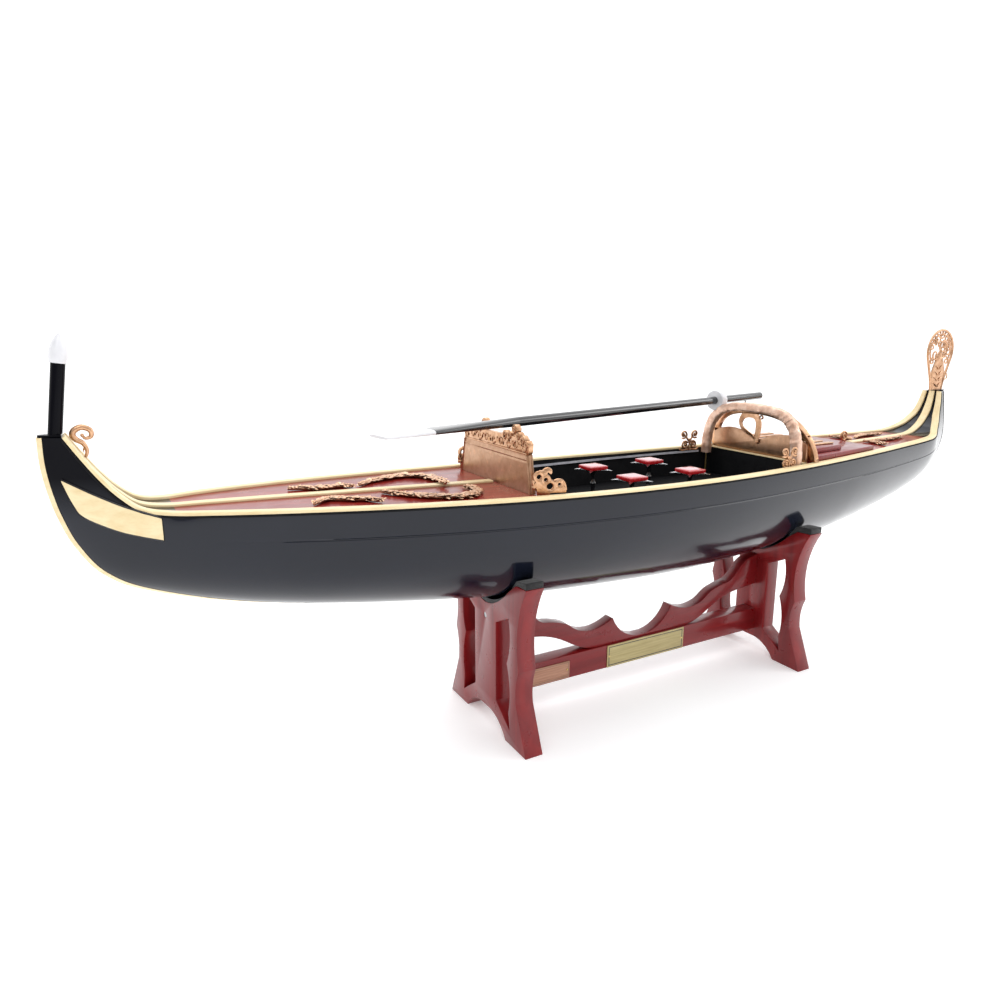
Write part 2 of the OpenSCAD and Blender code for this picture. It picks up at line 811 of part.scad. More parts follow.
// Flattened section of the blade at a distance u from its tip.
function blade_ring(u, sides = 16) =
    let (
        f = clamp(u / blade_end, 0, 1),
        w = lerp(blade_w, oar_d, pow(f, 1.3)) / 2,
        h = lerp(2, oar_d, pow(f, 0.9)) / 2
    )
    [
        for (i = [0 : sides - 1])
            let (a = 360 * i / sides, c = cos(a), s = sin(a), p = lerp(0.5, 1, f))
            [oar_fore + u, w * sign(c) * pow(abs(c), p), h * sign(s) * pow(abs(s), p)]
    ];
module oar_tip() {
    color(white)
        on_oar()
            skin([for (k = [0 : 3]) blade_ring(tip_l * k / 3)]);
}
module oar_blade() {
    color(black)
        on_oar()
            skin([for (k = [0 : 6]) blade_ring(lerp(tip_l + slack, blade_end, k / 6))]);
}
module oar_shaft() {
    color(black)
        on_oar()
            translate([oar_fore + blade_end + slack, 0, 0])
                rotate([0, 90, 0])
                    difference() {
                        cylinder(d = oar_d, h = oar_aft - oar_fore - blade_end, $fn = 48);
                        translate([0, 0, peg_u - oar_fore - blade_end])
                            rotate([0, 90, 0])
                                cylinder(r = 0.95, h = oar_d, $fn = 24);
                    }
}
peg_u = 52;
module oar_peg() {
    color("#8b8b90")
        on_oar()
            translate([peg_u, 0, -oar_d / 2 - 2.2])
                cylinder(r = 0.9, h = 5, $fn = 24);
}
module oar_collar() {
    color(white)
        on_oar()
            intersection() {
                rotate([0, 90, 0])
                    difference() {
                        sphere(r = collar_r, $fn = 48);
                        cylinder(r = oar_d / 2 + bore_gap, h = 40, center = true, $fn = 48);
                    }
                cube([8.4, 40, 40], center = true);
            }
}

// ---- bow and stern fittings ----------------------------------------------

module head_cap(tip_x, x0, x1, half, height) {
    linear_extrude(height = height)
        polygon([[tip_x, -2.8], [x0, -2.8], [x1, -half], [x1, half], [x0, 2.8], [tip_x, 2.8]]);
}
cap_t = 1.4;
module bow_cap() {
    color(black)
        difference() {
            translate([0, 0, LINES[0][2] + slack])
                head_cap(-446.6, -445.8, -434.6, 5.6, cap_t);
            translate(post_foot)
                rotate([0, post_lean, 0])
                    cylinder(d = post_tang_d + 2 * slack, h = 12, center = true, $fn = 32);
        }
}
module stern_cap() {
    color(black)
        translate([0, 0, LINES[last_row][2] + slack])
            mirror([1, 0, 0])
                head_cap(-435, -434, -418, 6, 1);
}

post_l = 41;
post_d = 7.7;
module bow_post() {
    foot_z = LINES[0][2] + cap_t + 2 * slack;
    below = 10;
    color(black) {
        difference() {
            translate(post_foot)
                rotate([0, post_lean, 0])
                    translate([0, 0, -1])
                        cylinder(d = post_d, h = post_l + 1, $fn = 48);
            translate([post_foot[0], 0, foot_z - below])
                cylinder(r = 12, h = below, $fn = 32);
        }
        translate(post_foot)
            rotate([0, post_lean, 0])
                translate([0, 0, -post_tang_l])
                    cylinder(d = post_tang_d, h = post_tang_l + 2, $fn = 32);
    }
}

// Radius of the flame-shaped finial at a fraction of its height.
finial_l = 17.6;
function finial_r(f) = 5.2 * pow(sin(180 * pow(0.24 + 0.76 * f, 0.8)), 0.75);
module flame_finial() {
    profile = [for (k = [0 : 14]) [finial_r(k / 14), finial_l * k / 14]];
    color(white)
        translate(post_foot)
            rotate([0, post_lean, 0])
                translate([0, 0, post_l + slack])
                    rotate_extrude($fn = 40)
                        polygon(concat([[0, 0]], profile, [[0, finial_l]]));
}

module bow_curl() {
    centre = [-424, 263.4];
    line = concat(
        [for (k = [0 : 10]) centre + (2.4 + 0.24 * k) * [cos(-150 - 28 * k), sin(-150 - 28 * k)]],
        [[-426.6, 255.6], [-425, 252.8], [-423.4, 250.6]]
    );
    path = [for (p = line) [p[0], 0, p[1]]];
    color(gilt)
        bar_along(path, [for (k = [0 : 13]) 0.95 + 0.05 * k], [for (k = [0 : 13]) 0.95 + 0.05 * k]);
}

fan_x = 422.6;
fan_r = 24;
fan_z = 297.4;
module fan() {
    foot = LINES[last_row][2] + 1 + 2 * slack;
    foot_half = 11.2;
    tangent = 24;
    color(gilt)
        upright_sheet(3)
            difference() {
                union() {
                    translate([fan_x, fan_z])
                        circle(r = fan_r, $fn = 72);
                    polygon([
                        [fan_x - foot_half, foot],
                        [fan_x + foot_half, foot],
                        [fan_x + fan_r * cos(tangent), fan_z - fan_r * sin(tangent)],
                        [fan_x - fan_r * cos(tangent), fan_z - fan_r * sin(tangent)]
                    ]);
                }
                for (a = [-20 : 40 : 200])
                    translate([fan_x + 16 * cos(a), fan_z + 16 * sin(a)])
                        circle(r = 3.9, $fn = 28);
                for (a = [0 : 60 : 180])
                    translate([fan_x + 6.4 * cos(a), fan_z + 6.4 * sin(a)])
                        circle(r = 2.1, $fn = 24);
            }
}

// ---- stern furniture -----------------------------------------------------

platform_x = [153, 255.5];
step_x = [153, 206.5];
platform_top = 209.6;
step_t = 5;
module stern_platform() {
    steps = 8;
    color(cherry)
        skin([
            for (k = [0 : steps])
                let (
                    x = lerp(platform_x[0], platform_x[1], k / steps),
                    r = gunwale_at(x),
                    half = r[1] - gunwale_width - 1,
                    z = r[2] + 2 * slack
                )
                [[x, -half, z], [x, half, z], [x, half, platform_top], [x, -half, platform_top]]
        ]);
}
module stern_step() {
    color(cherry)
        translate([0, 0, platform_top + slack])
            linear_extrude(height = step_t)
                polygon([[step_x[0], -52], [step_x[1], -46], [step_x[1], 46], [step_x[0], 52]]);
}
module gilt_slats() {
    color(gilt)
        for (y = [-36 : 12 : 36])
            translate([lerp(step_x[0], step_x[1], 0.5), y, platform_top + step_t + 2 * slack + 0.7])
                cube([step_x[1] - step_x[0] - 6, 6.5, 1.4], center = true);
}
ring_x = 271.5;
module deck_ring() {
    color(gilt)
        translate([ring_x, 0, gunwale_at(ring_x)[2] + slack]) {
            cylinder(r = 2.2, h = 3.4, $fn = 32);
            translate([0, 0, 8.4])
                wire_ring(4.4, 1.1);
            cylinder(r = 1, h = 5, $fn = 24);
        }
}

// Garlands: the middle line of each in x and y, and its half width.
BOW_GARLANDS = [
    [[[-302, 20], [-289, 17], [-280, 14.5], [-266, 17], [-257, 13]], 3.4],
    [[[-298, -34], [-291, -27], [-285, -22.5], [-272, -28], [-263, -32], [-254, -41]], 3.6],
    [[[-251, 16], [-238, 27], [-220, 36], [-203, 38.5], [-192, 30], [-189, 18], [-190, 8], [-192, -8]], 4],
    [[[-244, -13], [-232, -28], [-214, -42], [-196, -47], [-181, -38], [-177, -24], [-181, -20]], 4]
];
STERN_GARLANDS = [
    [[[306, 12], [322, 17], [338, 17], [352, 12.5]], 3],
    [[[308, -11], [322, -13], [338, -12.5], [356, -9.5]], 3],
    [[[294, -7], [297, -14], [297, -24], [294, -33]], 2.8],
    [[[294, 7], [297, 14], [297, 24], [294, 33]], 2.8]
];
// A garland lies on the deck and rises where it crosses the centre strip.
function garland_lift(y) = 1.7 + 1.8 * clamp((13 - abs(y)) / 4.5, 0, 1);
module garland(g) {
    line = smooth(g[0], 3);
    last = len(line) - 1;
    crosses = min([for (p = line) p[1]]) * max([for (p = line) p[1]]) < 0;
    path = [for (p = line) [p[0], p[1], gunwale_at(p[0])[2] + (crosses ? garland_lift(p[1]) : 1.7)]];
    wide = [for (k = [0 : last]) g[1] * (0.55 + 0.45 * sin(180 * k / last)) * (k % 2 == 0 ? 1 : 0.78)];
    bar_along(path, wide, [for (k = [0 : last]) 1.45], [0, 0, 1]);
}
module bow_garlands() {
    color(gilt)
        for (g = BOW_GARLANDS)
            garland(g);
}
module stern_garlands() {
    color(gilt)
        for (g = STERN_GARLANDS)
            garland(g);
}

// ---- stand ---------------------------------------------------------------

ear = [64.6, 136.7];
// Height of the wooden cradle at a distance y from the middle.
cradle_line = [[0, 107.3], [11, 109.4], [21.5, 114.6], [31, 121.2], [39.5, 128.8], [49.5, 136]];
cradle_half = smooth(cradle_line, 3);
function cradle_z(y) = lookup(abs(y), concat(cradle_half, [ear]));

upright_half = concat(
    cradle_half,
    [ear],
    arc3(ear, [51.6, 96], [54, 67.3]),
    arc3([54, 67.3], [50.2, 54], [50.3, 38]),
    [[65.6, 0], [33.6, 0]],
    arc3([33.6, 0], [23.4, 10.6], [9, 15.8])
);
slot_outline = concat(
    [[18, 96], [38.4, 106.4]],
    arc3([38.4, 106.4], [40.6, 88], [35.6, 68]),
    arc3([35.6, 68], [40.4, 47], [38.6, 27]),
    [[40.5, 12]],
    arc3([40.5, 12], [30.5, 19.4], [18, 28])
);
screw_z = 96;
dowel_z = [30, 39.5];
dowel_r = 2.5;
module upright_profile() {
    mirrored = [for (p = reversed(upright_half)) if (p[0] > 0) [-p[0], p[1]]];
    difference() {
        polygon(concat(upright_half, mirrored));
        polygon(slot_outline);
        mirror([1, 0])
            polygon(slot_outline);
    }
}
// An upright with its blind dowel holes and its screw hole on the inner face,
// which looks along the direction given.
module upright(inward) {
    color(cherry)
        translate([stand_x - inward * upright_span / 2, 0, 0])
            difference() {
                cross_sheet(upright_t)
                    upright_profile();
                for (z = dowel_z)
                    translate([inward * (upright_t / 2 - 8), 0, z])
                        rotate([0, 90 * inward, 0])
                            cylinder(r = dowel_r + slack, h = 20, $fn = 32);
                translate([-inward * (upright_t / 2 + 1), 0, screw_z])
                    rotate([0, 90 * inward, 0])
                        cylinder(r = 1.3 + slack, h = upright_t + 2, $fn = 28);
                translate([-inward * (upright_t / 2 + 1), 0, screw_z])
                    rotate([0, 90 * inward, 0])
                        cylinder(r = 2.2 + slack, h = 3, $fn = 28);
            }
}
module upright_bow() { upright(1); }
module upright_stern() { upright(-1); }

rail_l = upright_span - upright_t - 2 * slack;
module end_holes(z_values, r, depth) {
    for (side = [-1, 1], z = z_values)
        translate([side * rail_l / 2, 0, z])
            rotate([0, 90, 0])
                cylinder(r = r, h = 2 * depth, center = true, $fn = 32);
}
rail_low_z = 24;
module lower_rail() {
    color(cherry)
        translate([stand_x, 0, 0])
            difference() {
                translate([-rail_l / 2, -rail_t / 2, rail_low_z])
                    cube([rail_l, rail_t, rail_top_z - rail_low_z]);
                end_holes(dowel_z, dowel_r + slack, 14);
            }
}

// Half outline of the scroll-cut rail, from its middle outward.
rail_foot = rail_top_z + slack;
scroll_top = concat(
    arc3([0, 46.9], [19, 52], [34, 69.5], 8),
    [for (p = smooth([[34, 69.5], [44, 65.2], [57, 62.8], [72, 66], [84, 74], [98, 78.4], [109, 80.6],
        [118, 88], [128, 98], [rail_l / 2, 103]], 3)) p]
);
scroll_low = smooth([
    [rail_l / 2, 72], [120, 69.5], [104, 66.5], [90, 61], [76, 53], [64, 47.6], [52, rail_foot]
], 3);
module scroll_rail() {
    half = concat(scroll_top, scroll_low);
    mirrored = [for (p = reversed(half)) [-p[0], p[1]]];
    color(cherry)
        translate([stand_x, 0, 0])
            difference() {
                upright_sheet(scroll_t)
                    polygon(concat(half, mirrored));
                end_holes([screw_z], 1.2 + slack, 12);
            }
}

felt_l = upright_t - 0.6;
// Height of the felt's upper face: it stays clear of the hull along its whole length.
function felt_top(x, y) =
    let (room = min([for (e = [-1, 0, 1]) skin_z(x + e * felt_l / 2, y)]) - lift_gap)
    max(cradle_z(y) + 0.8, min(cradle_z(y) + felt_t, room));
module felt(x) {
    reach = 64;
    right = concat([for (p = cradle_half) p[0]], [reach]);
    ys = concat([for (k = [len(right) - 1 : -1 : 1]) -right[k]], right);
    translate([x, 0, 0])
        cross_sheet(felt_l)
            polygon(concat(
                [for (y = ys) [y, cradle_z(y) + slack]],
                [for (y = reversed(ys)) [y, felt_top(x, y)]]
            ));
}
module cradle_felts() {
    color("#2a2b2c") {
        felt(stand_x - upright_span / 2);
        felt(stand_x + upright_span / 2);
    }
}

plate_t = 0.8;
title_size = [90, 21];
maker_size = [58, 15.5];
title_x = 9.5;
maker_x = -105.5;
rail_face = -rail_t / 2 - slack;
module face_plate(x, size, z) {
    translate([x, rail_face - plate_t / 2, z])
        cube([size[0], plate_t, size[1]], center = true);
}
rail_mid_z = (rail_low_z + rail_top_z) / 2;
module title_plate() {
    color(brass)
        difference() {
            face_plate(title_x, title_size, rail_mid_z);
            plate_holes(title_x, title_size, rail_mid_z);
        }
}
module maker_plate() {
    color(bronze)
        difference() {
            face_plate(maker_x, maker_size, rail_mid_z - 2);
            plate_holes(maker_x, maker_size, rail_mid_z - 2);
        }
}
module at_plate_pins(x, size, z) {
    for (sx = [-1, 1])
        translate([x + sx * (size[0] / 2 - 2.4), rail_face, z])
            rotate([90, 0, 0])
                children();
}
module plate_holes(x, size, z) {
    at_plate_pins(x, size, z)
        cylinder(r = 0.5, h = 6, center = true, $fn = 20);
}
module plate_pins() {
    color(brass)
        for (p = [[title_x, title_size, rail_mid_z], [maker_x, maker_size, rail_mid_z - 2]])
            at_plate_pins(p[0], p[1], p[2]) {
                translate([0, 0, slack])
                    cylinder(r = 0.45, h = plate_t, $fn = 20);
                translate([0, 0, plate_t + slack])
                    cylinder(r1 = 0.95, r2 = 0.6, h = 0.4, $fn = 20);
            }
}

module rail_dowels() {
    dowel_l = 20;
    color("#c49a6c")
        translate([stand_x, 0, 0])
            for (side = [-1, 1], z = dowel_z)
                translate([side * (rail_l / 2 - 3), 0, z])
                    rotate([0, 90, 0])
                        cylinder(r = dowel_r, h = dowel_l, center = true, $fn = 32);
}
module rail_screws() {
    head_h = 1.6;
    color("#55524c")
        translate([stand_x, 0, 0])
            for (side = [-1, 1])
                translate([side * (upright_span / 2 + upright_t / 2 - 2), 0, screw_z])
                    rotate([0, 90 * side, 0]) {
                        cylinder(r = 2.2, h = head_h, $fn = 28);
                        translate([0, 0, -23])
                            cylinder(r = 1.2, h = 23, $fn = 28);
                    }
}

upright_bow();
upright_stern();
lower_rail();
scroll_rail();
cradle_felts();
title_plate();
maker_plate();
plate_pins();
rail_dowels();
rail_screws();
hull_shell();
bow_head();
stern_head();
keel_backbone();
hull_frames();
cockpit_bulkheads();
stem_strip();
keel_shoe();
wing_panels();
bow_deck();
stern_deck();
gunwale_port();
gunwale_starboard();
bow_centre_strip();
stern_centre_strip();
cockpit_floor();
cockpit_lining();
cockpit_ledges();
bow_cap();
stern_cap();
bow_post();
flame_finial();
bow_curl();
seat_back();
seat_crest();
arm_scrolls();
stool_seat_1();
stool_seat_2();
stool_seat_3();
stool_seat_4();
stool_stands();
front_hoop();
hoop_pins();
rear_hoop();
rear_board();
board_sill();
ribbon_scroll();
sea_horses();
oar_collar();
stern_platform();
stern_step();
gilt_slats();
deck_ring();
bow_garlands();
stern_garlands();
fan();
oar_shaft();
oar_blade();
oar_tip();
oar_peg();
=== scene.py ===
import bpy
import bmesh
import json
import math
import random
from mathutils import Matrix, Vector, noise

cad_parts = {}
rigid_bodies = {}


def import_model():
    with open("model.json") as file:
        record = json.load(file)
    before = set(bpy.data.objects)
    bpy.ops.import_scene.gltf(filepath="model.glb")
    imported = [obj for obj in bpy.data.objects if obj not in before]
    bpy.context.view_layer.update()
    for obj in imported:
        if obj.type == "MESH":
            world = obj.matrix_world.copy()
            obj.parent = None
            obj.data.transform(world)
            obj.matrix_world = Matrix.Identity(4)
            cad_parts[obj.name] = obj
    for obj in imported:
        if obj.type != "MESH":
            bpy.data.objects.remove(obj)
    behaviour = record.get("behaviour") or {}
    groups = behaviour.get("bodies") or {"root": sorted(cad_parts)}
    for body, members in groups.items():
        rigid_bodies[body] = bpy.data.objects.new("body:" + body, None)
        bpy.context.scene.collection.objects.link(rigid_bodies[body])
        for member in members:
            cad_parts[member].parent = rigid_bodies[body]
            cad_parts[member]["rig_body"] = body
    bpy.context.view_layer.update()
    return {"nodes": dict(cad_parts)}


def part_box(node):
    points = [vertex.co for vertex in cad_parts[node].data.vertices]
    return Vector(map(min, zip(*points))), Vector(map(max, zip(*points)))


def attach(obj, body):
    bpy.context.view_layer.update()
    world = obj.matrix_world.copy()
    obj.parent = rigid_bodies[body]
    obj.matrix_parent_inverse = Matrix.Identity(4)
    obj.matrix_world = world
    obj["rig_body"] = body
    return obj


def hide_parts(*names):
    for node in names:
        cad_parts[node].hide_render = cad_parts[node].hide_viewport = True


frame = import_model()

MM = 0.001
pi = math.pi
V = Vector


def circle(n):
    """Cosine and sine of n equal steps round a circle."""
    return [(math.cos(2 * pi * i / n), math.sin(2 * pi * i / n)) for i in range(n)]


def middle_of(low, high):
    return (low + high) / 2 / MM


# ---------------------------------------------------------------- materials

class Shader:
    """A principled material whose nodes are added one by one."""

    def __init__(self, name):
        self.material = bpy.data.materials.new(name)
        self.material.use_nodes = True
        self.tree = self.material.node_tree
        self.tree.nodes.clear()
        out = self.node("ShaderNodeOutputMaterial")
        self.bsdf = self.node("ShaderNodeBsdfPrincipled")
        self.link(self.bsdf.outputs[0], out.inputs[0])
        self.co = self.node("ShaderNodeTexCoord").outputs["Object"]

    def node(self, kind, **props):
        n = self.tree.nodes.new(kind)
        for k, v in props.items():
            setattr(n, k, v)
        return n

    def link(self, a, b):
        self.tree.links.new(a, b)

    def put(self, **values):
        """Sets sockets of the principled node: a number, a colour or another node's output."""
        names = {"color": "Base Color", "rough": "Roughness", "metal": "Metallic", "coat": "Coat Weight",
                 "coat_rough": "Coat Roughness", "spec": "Specular IOR Level", "normal": "Normal",
                 "coat_normal": "Coat Normal", "sheen": "Sheen Weight", "sheen_rough": "Sheen Roughness"}
        for key, value in values.items():
            socket = self.bsdf.inputs[names[key]]
            if isinstance(value, bpy.types.NodeSocket):
                self.link(value, socket)
            elif isinstance(value, tuple):
                socket.default_value = (*value, 1)
            else:
                socket.default_value = value

    def mapped(self, scale):
        m = self.node("ShaderNodeMapping")
        m.inputs["Scale"].default_value = scale
        self.link(self.co, m.inputs["Vector"])
        return m.outputs[0]

    def noise(self, scale, detail=4, rough=0.55, vector=None, distort=0.0):
        n = self.node("ShaderNodeTexNoise")
        n.inputs["Scale"].default_value = scale
        n.inputs["Detail"].default_value = detail
        n.inputs["Roughness"].default_value = rough
        n.inputs["Distortion"].default_value = distort
        self.link(vector or self.co, n.inputs["Vector"])
        return n.outputs["Fac"]

    def cells(self, scale):
        n = self.node("ShaderNodeTexVoronoi", feature="SMOOTH_F1")
        n.inputs["Scale"].default_value = scale
        self.link(self.co, n.inputs["Vector"])
        return n.outputs["Distance"]

    def ramp(self, fac, *stops):
        n = self.node("ShaderNodeValToRGB")
        elements = n.color_ramp.elements
        while len(elements) < len(stops):
            elements.new(0.5)
        for e, (place, colour) in zip(elements, stops):
            e.position = place
            e.color = (*colour, 1)
        self.link(fac, n.inputs[0])
        return n.outputs[0]

    def span(self, fac, low, high, a=0.3, b=0.7):
        n = self.node("ShaderNodeMapRange")
        for socket, value in zip(("From Min", "From Max", "To Min", "To Max"), (a, b, low, high)):
            n.inputs[socket].default_value = value
        self.link(fac, n.inputs["Value"])
        return n.outputs[0]

    def mix(self, fac, a, b, kind="MIX"):
        n = self.node("ShaderNodeMix", data_type="RGBA", blend_type=kind)
        for socket, value in ((n.inputs[0], fac), (n.inputs[6], a), (n.inputs[7], b)):
            if isinstance(value, bpy.types.NodeSocket):
                self.link(value, socket)
            else:
                socket.default_value = (*value, 1) if isinstance(value, tuple) else value
        return n.outputs[2]

    def bump(self, height, strength, distance, below=None):
        n = self.node("ShaderNodeBump")
        n.inputs["Strength"].default_value = strength
        n.inputs["Distance"].default_value = distance
        self.link(height, n.inputs["Height"])
        if below is not None:
            self.link(below, n.inputs["Normal"])
        return n.outputs[0]

    def occlusion_shade(self, reach):
        # occlusion by nearby surfaces, used to paint shade into hollows and crevices
        n = self.node("ShaderNodeAmbientOcclusion", samples=6)
        n.inputs["Distance"].default_value = reach
        return n.outputs["AO"]


def black_lacquer(name, tint, gloss, matt_and_shaded_top=False):
    """Black lacquer; on the hull its gloss fades towards the tops of both heads, and its colour is darkened
    there as painted shade.
    """
    s = Shader(name)
    wave = s.bump(s.noise(22, 2), 0.10, 0.0012)
    colour = s.ramp(s.noise(12), (0.3, tuple(0.7 * c for c in tint)), (0.7, tint))
    if matt_and_shaded_top:
        xyz = s.node("ShaderNodeSeparateXYZ")
        s.link(s.co, xyz.inputs[0])
        gloss = s.span(xyz.outputs[2], gloss, 0.05, 0.212, 0.238)
        # painted shade: the colour darkens towards the tops of the heads
        colour = s.mix(s.span(xyz.outputs[2], 0.0, 1.0, 0.212, 0.238), colour, (0.003, 0.003, 0.005))
    s.put(color=colour, spec=gloss,
          rough=s.span(s.noise(70, 5), 0.10, 0.2), coat=gloss, coat_rough=0.05,
          normal=s.bump(s.noise(900, 2), 0.05, 0.0002, wave))
    return s.material


def black_matt(name):
    s = Shader(name)
    s.put(color=s.ramp(s.noise(60), (0.3, (0.003, 0.003, 0.004)), (0.7, (0.008, 0.008, 0.009))),
          rough=s.span(s.noise(200), 0.55, 0.75), spec=0.12, normal=s.bump(s.noise(700), 0.2, 0.0003))
    return s.material


def wood(name, dark, middle, light, grain, gloss=0.9):
    """Stained and lacquered wood with its grain along one axis."""
    s = Shader(name)
    stretch = [150, 150, 150]
    stretch["xyz".index(grain)] = 7
    fibre = s.noise(1, 3, 0.5, s.mapped(stretch), 0.4)
    stretch["xyz".index(grain)] = 3
    band = s.noise(0.25, 3, 0.5, s.mapped(stretch), 1.2)
    stain = s.ramp(fibre, (0.25, dark), (0.5, middle), (0.78, light))
    tone = s.ramp(band, (0.3, (0.84, 0.84, 0.84)), (0.7, (1.08, 1.06, 1.05)))
    s.put(color=s.mix(0.7, stain, tone, "MULTIPLY"), rough=s.span(s.noise(90), 0.26, 0.36),
          coat=gloss, coat_rough=0.1, spec=0.32, normal=s.bump(fibre, 0.04, 0.0003),
          coat_normal=s.bump(s.noise(60, 1), 0.02, 0.0005))
    return s.material


def cream_paint(name):
    s = Shader(name)
    fibre = s.noise(1, 5, 0.6, s.mapped((14, 240, 240)))
    tint = s.ramp(fibre, (0.25, (0.74, 0.57, 0.30)), (0.6, (0.84, 0.70, 0.43)), (0.85, (0.87, 0.75, 0.51)))
    # painted shade: the cream darkens to brown in crevices found by occlusion
    shaded_in_crevices = s.mix(s.occlusion_shade(0.0012), (0.55, 0.36, 0.16), tint)
    s.put(color=shaded_in_crevices, rough=s.span(s.noise(150), 0.32, 0.5), normal=s.bump(fibre, 0.15, 0.0003))
    return s.material


def gilt(name, dark, light, hollow, rough, bump_scale, metal=1.0, hammer=0.0, strength=0.35):
    """Cast or hammered copper-coloured metal, darker in its hollows by painted shade, with brighter specks
    as painted glints.
    """
    s = Shader(name)
    tint = s.ramp(s.noise(160, 6), (0.3, dark), (0.7, light))
    # painted highlights: random specks are brightened and whitened like glints
    painted_glints = s.ramp(s.noise(bump_scale * 1.6, 3), (0.58, (0.85, 0.85, 0.85)), (0.74, (1.35, 1.25, 1.15)))
    relief = s.bump(s.noise(bump_scale, 4), strength, 0.0004)
    if hammer:
        relief = s.bump(s.cells(hammer), 0.55, 0.0008, relief)
    # painted shade: the hollow colour fills crevices found by occlusion
    s.put(color=s.mix(s.occlusion_shade(0.0022), hollow, s.mix(0.5, tint, painted_glints, "MULTIPLY")), metal=metal,
          rough=s.span(s.noise(240), rough - 0.08, rough + 0.1), normal=relief)
    return s.material


def white_paint(name):
    s = Shader(name)
    s.put(color=s.ramp(s.noise(180), (0.3, (0.66, 0.66, 0.69)), (0.7, (0.73, 0.73, 0.75))),
          rough=s.span(s.noise(120), 0.25, 0.4), coat=0.3, normal=s.bump(s.noise(420), 0.12, 0.0003))
    return s.material


def plain_metal(name, dark, light, rough, stretch=(60, 900, 900), metal=1.0):
    """Rolled or drawn metal with fine lines along one axis."""
    s = Shader(name)
    lines = s.noise(1, 4, 0.6, s.mapped(stretch))
    s.put(color=s.ramp(lines, (0.3, dark), (0.7, light)), metal=metal,
          rough=s.span(s.noise(140), rough - 0.06, rough + 0.08), normal=s.bump(lines, 0.08, 0.0002))
    return s.material


def felt_cloth(name):
    s = Shader(name)
    fluff = s.noise(2200, 4, 0.7)
    s.put(color=s.ramp(fluff, (0.3, (0.006, 0.006, 0.006)), (0.75, (0.030, 0.030, 0.031))),
          rough=0.95, spec=0.15, sheen=0.35, sheen_rough=0.5,
          normal=s.bump(s.noise(160), 0.5, 0.0012, s.bump(fluff, 0.7, 0.0006)))
    return s.material


def gloss_paint(name, dark, light, rough=0.2):
    s = Shader(name)
    s.put(color=s.ramp(s.noise(140), (0.3, dark), (0.7, light)),
          rough=s.span(s.noise(260), rough, rough + 0.12), coat=0.8, coat_rough=0.06,
          normal=s.bump(s.noise(500), 0.08, 0.0002))
    return s.material


CHERRY = ((0.15, 0.004, 0.006), (0.20, 0.006, 0.008), (0.255, 0.011, 0.011))
RAW = ((0.32, 0.20, 0.10), (0.48, 0.32, 0.17), (0.60, 0.43, 0.25))
DECK = ((0.17, 0.008, 0.006), (0.25, 0.012, 0.009), (0.33, 0.019, 0.014))
ROLLED = (40, 900, 900)     # close lines along x
MATS = {name: make(name, *values) for name, make, *values in (
    ("cherry_x", wood, *CHERRY, "x", 0.3),
    ("cherry_z", wood, *CHERRY, "z", 0.3),
    ("deck_wood", wood, *DECK, "x", 0.32),
    ("raw_wood", wood, *RAW, "x", 0.0),
    ("black_lacquer", black_lacquer, (0.006, 0.008, 0.016), 0.24, True),
    ("oar_black", black_lacquer, (0.008, 0.008, 0.010), 0.6),
    ("black_matt", black_matt),
    ("cream_paint", cream_paint),
    ("grey_trim", gloss_paint, (0.42, 0.43, 0.48), (0.58, 0.59, 0.64), 0.3),
    ("felt", felt_cloth),
    ("rose_gilt", gilt, (0.52, 0.28, 0.15), (0.82, 0.51, 0.32), (0.13, 0.05, 0.022), 0.32, 700),
    ("panel_gilt", gilt, (0.47, 0.27, 0.16), (0.60, 0.37, 0.24), (0.36, 0.19, 0.11), 0.36, 160,
     1.0, 0.0, 0.05),
    ("garland_gilt", gilt, (0.62, 0.36, 0.22), (0.92, 0.62, 0.43), (0.30, 0.14, 0.07), 0.32, 700),
    ("pink_bronze", gilt, (0.74, 0.46, 0.33), (0.97, 0.72, 0.58), (0.28, 0.11, 0.06), 0.44, 380,
     0.7, 190),
    ("brass", plain_metal, (0.50, 0.36, 0.12), (0.78, 0.60, 0.26), 0.28),
    ("title_brass", plain_metal, (0.38, 0.31, 0.14), (0.53, 0.45, 0.23), 0.42, ROLLED, 0.55),
    ("copper_sheet", plain_metal, (0.32, 0.16, 0.10), (0.47, 0.26, 0.18), 0.38, ROLLED, 0.7),
    ("steel", plain_metal, (0.30, 0.30, 0.31), (0.50, 0.50, 0.51), 0.35),
    ("white_paint", white_paint),
    ("red_seat", gloss_paint, (0.40, 0.006, 0.010), (0.56, 0.012, 0.018)),
    # painted reflection: a paler red for the panel on each seat's top
    ("seat_top_reflection", gloss_paint, (0.50, 0.09, 0.11), (0.66, 0.20, 0.23), 0.1),
    ("silver", plain_metal, (0.62, 0.63, 0.66), (0.88, 0.89, 0.91), 0.22, (300, 300, 300)),
    ("plate_ink", gloss_paint, (0.012, 0.010, 0.006), (0.035, 0.028, 0.015), 0.4),
)}


# ---------------------------------------------------------------- geometry

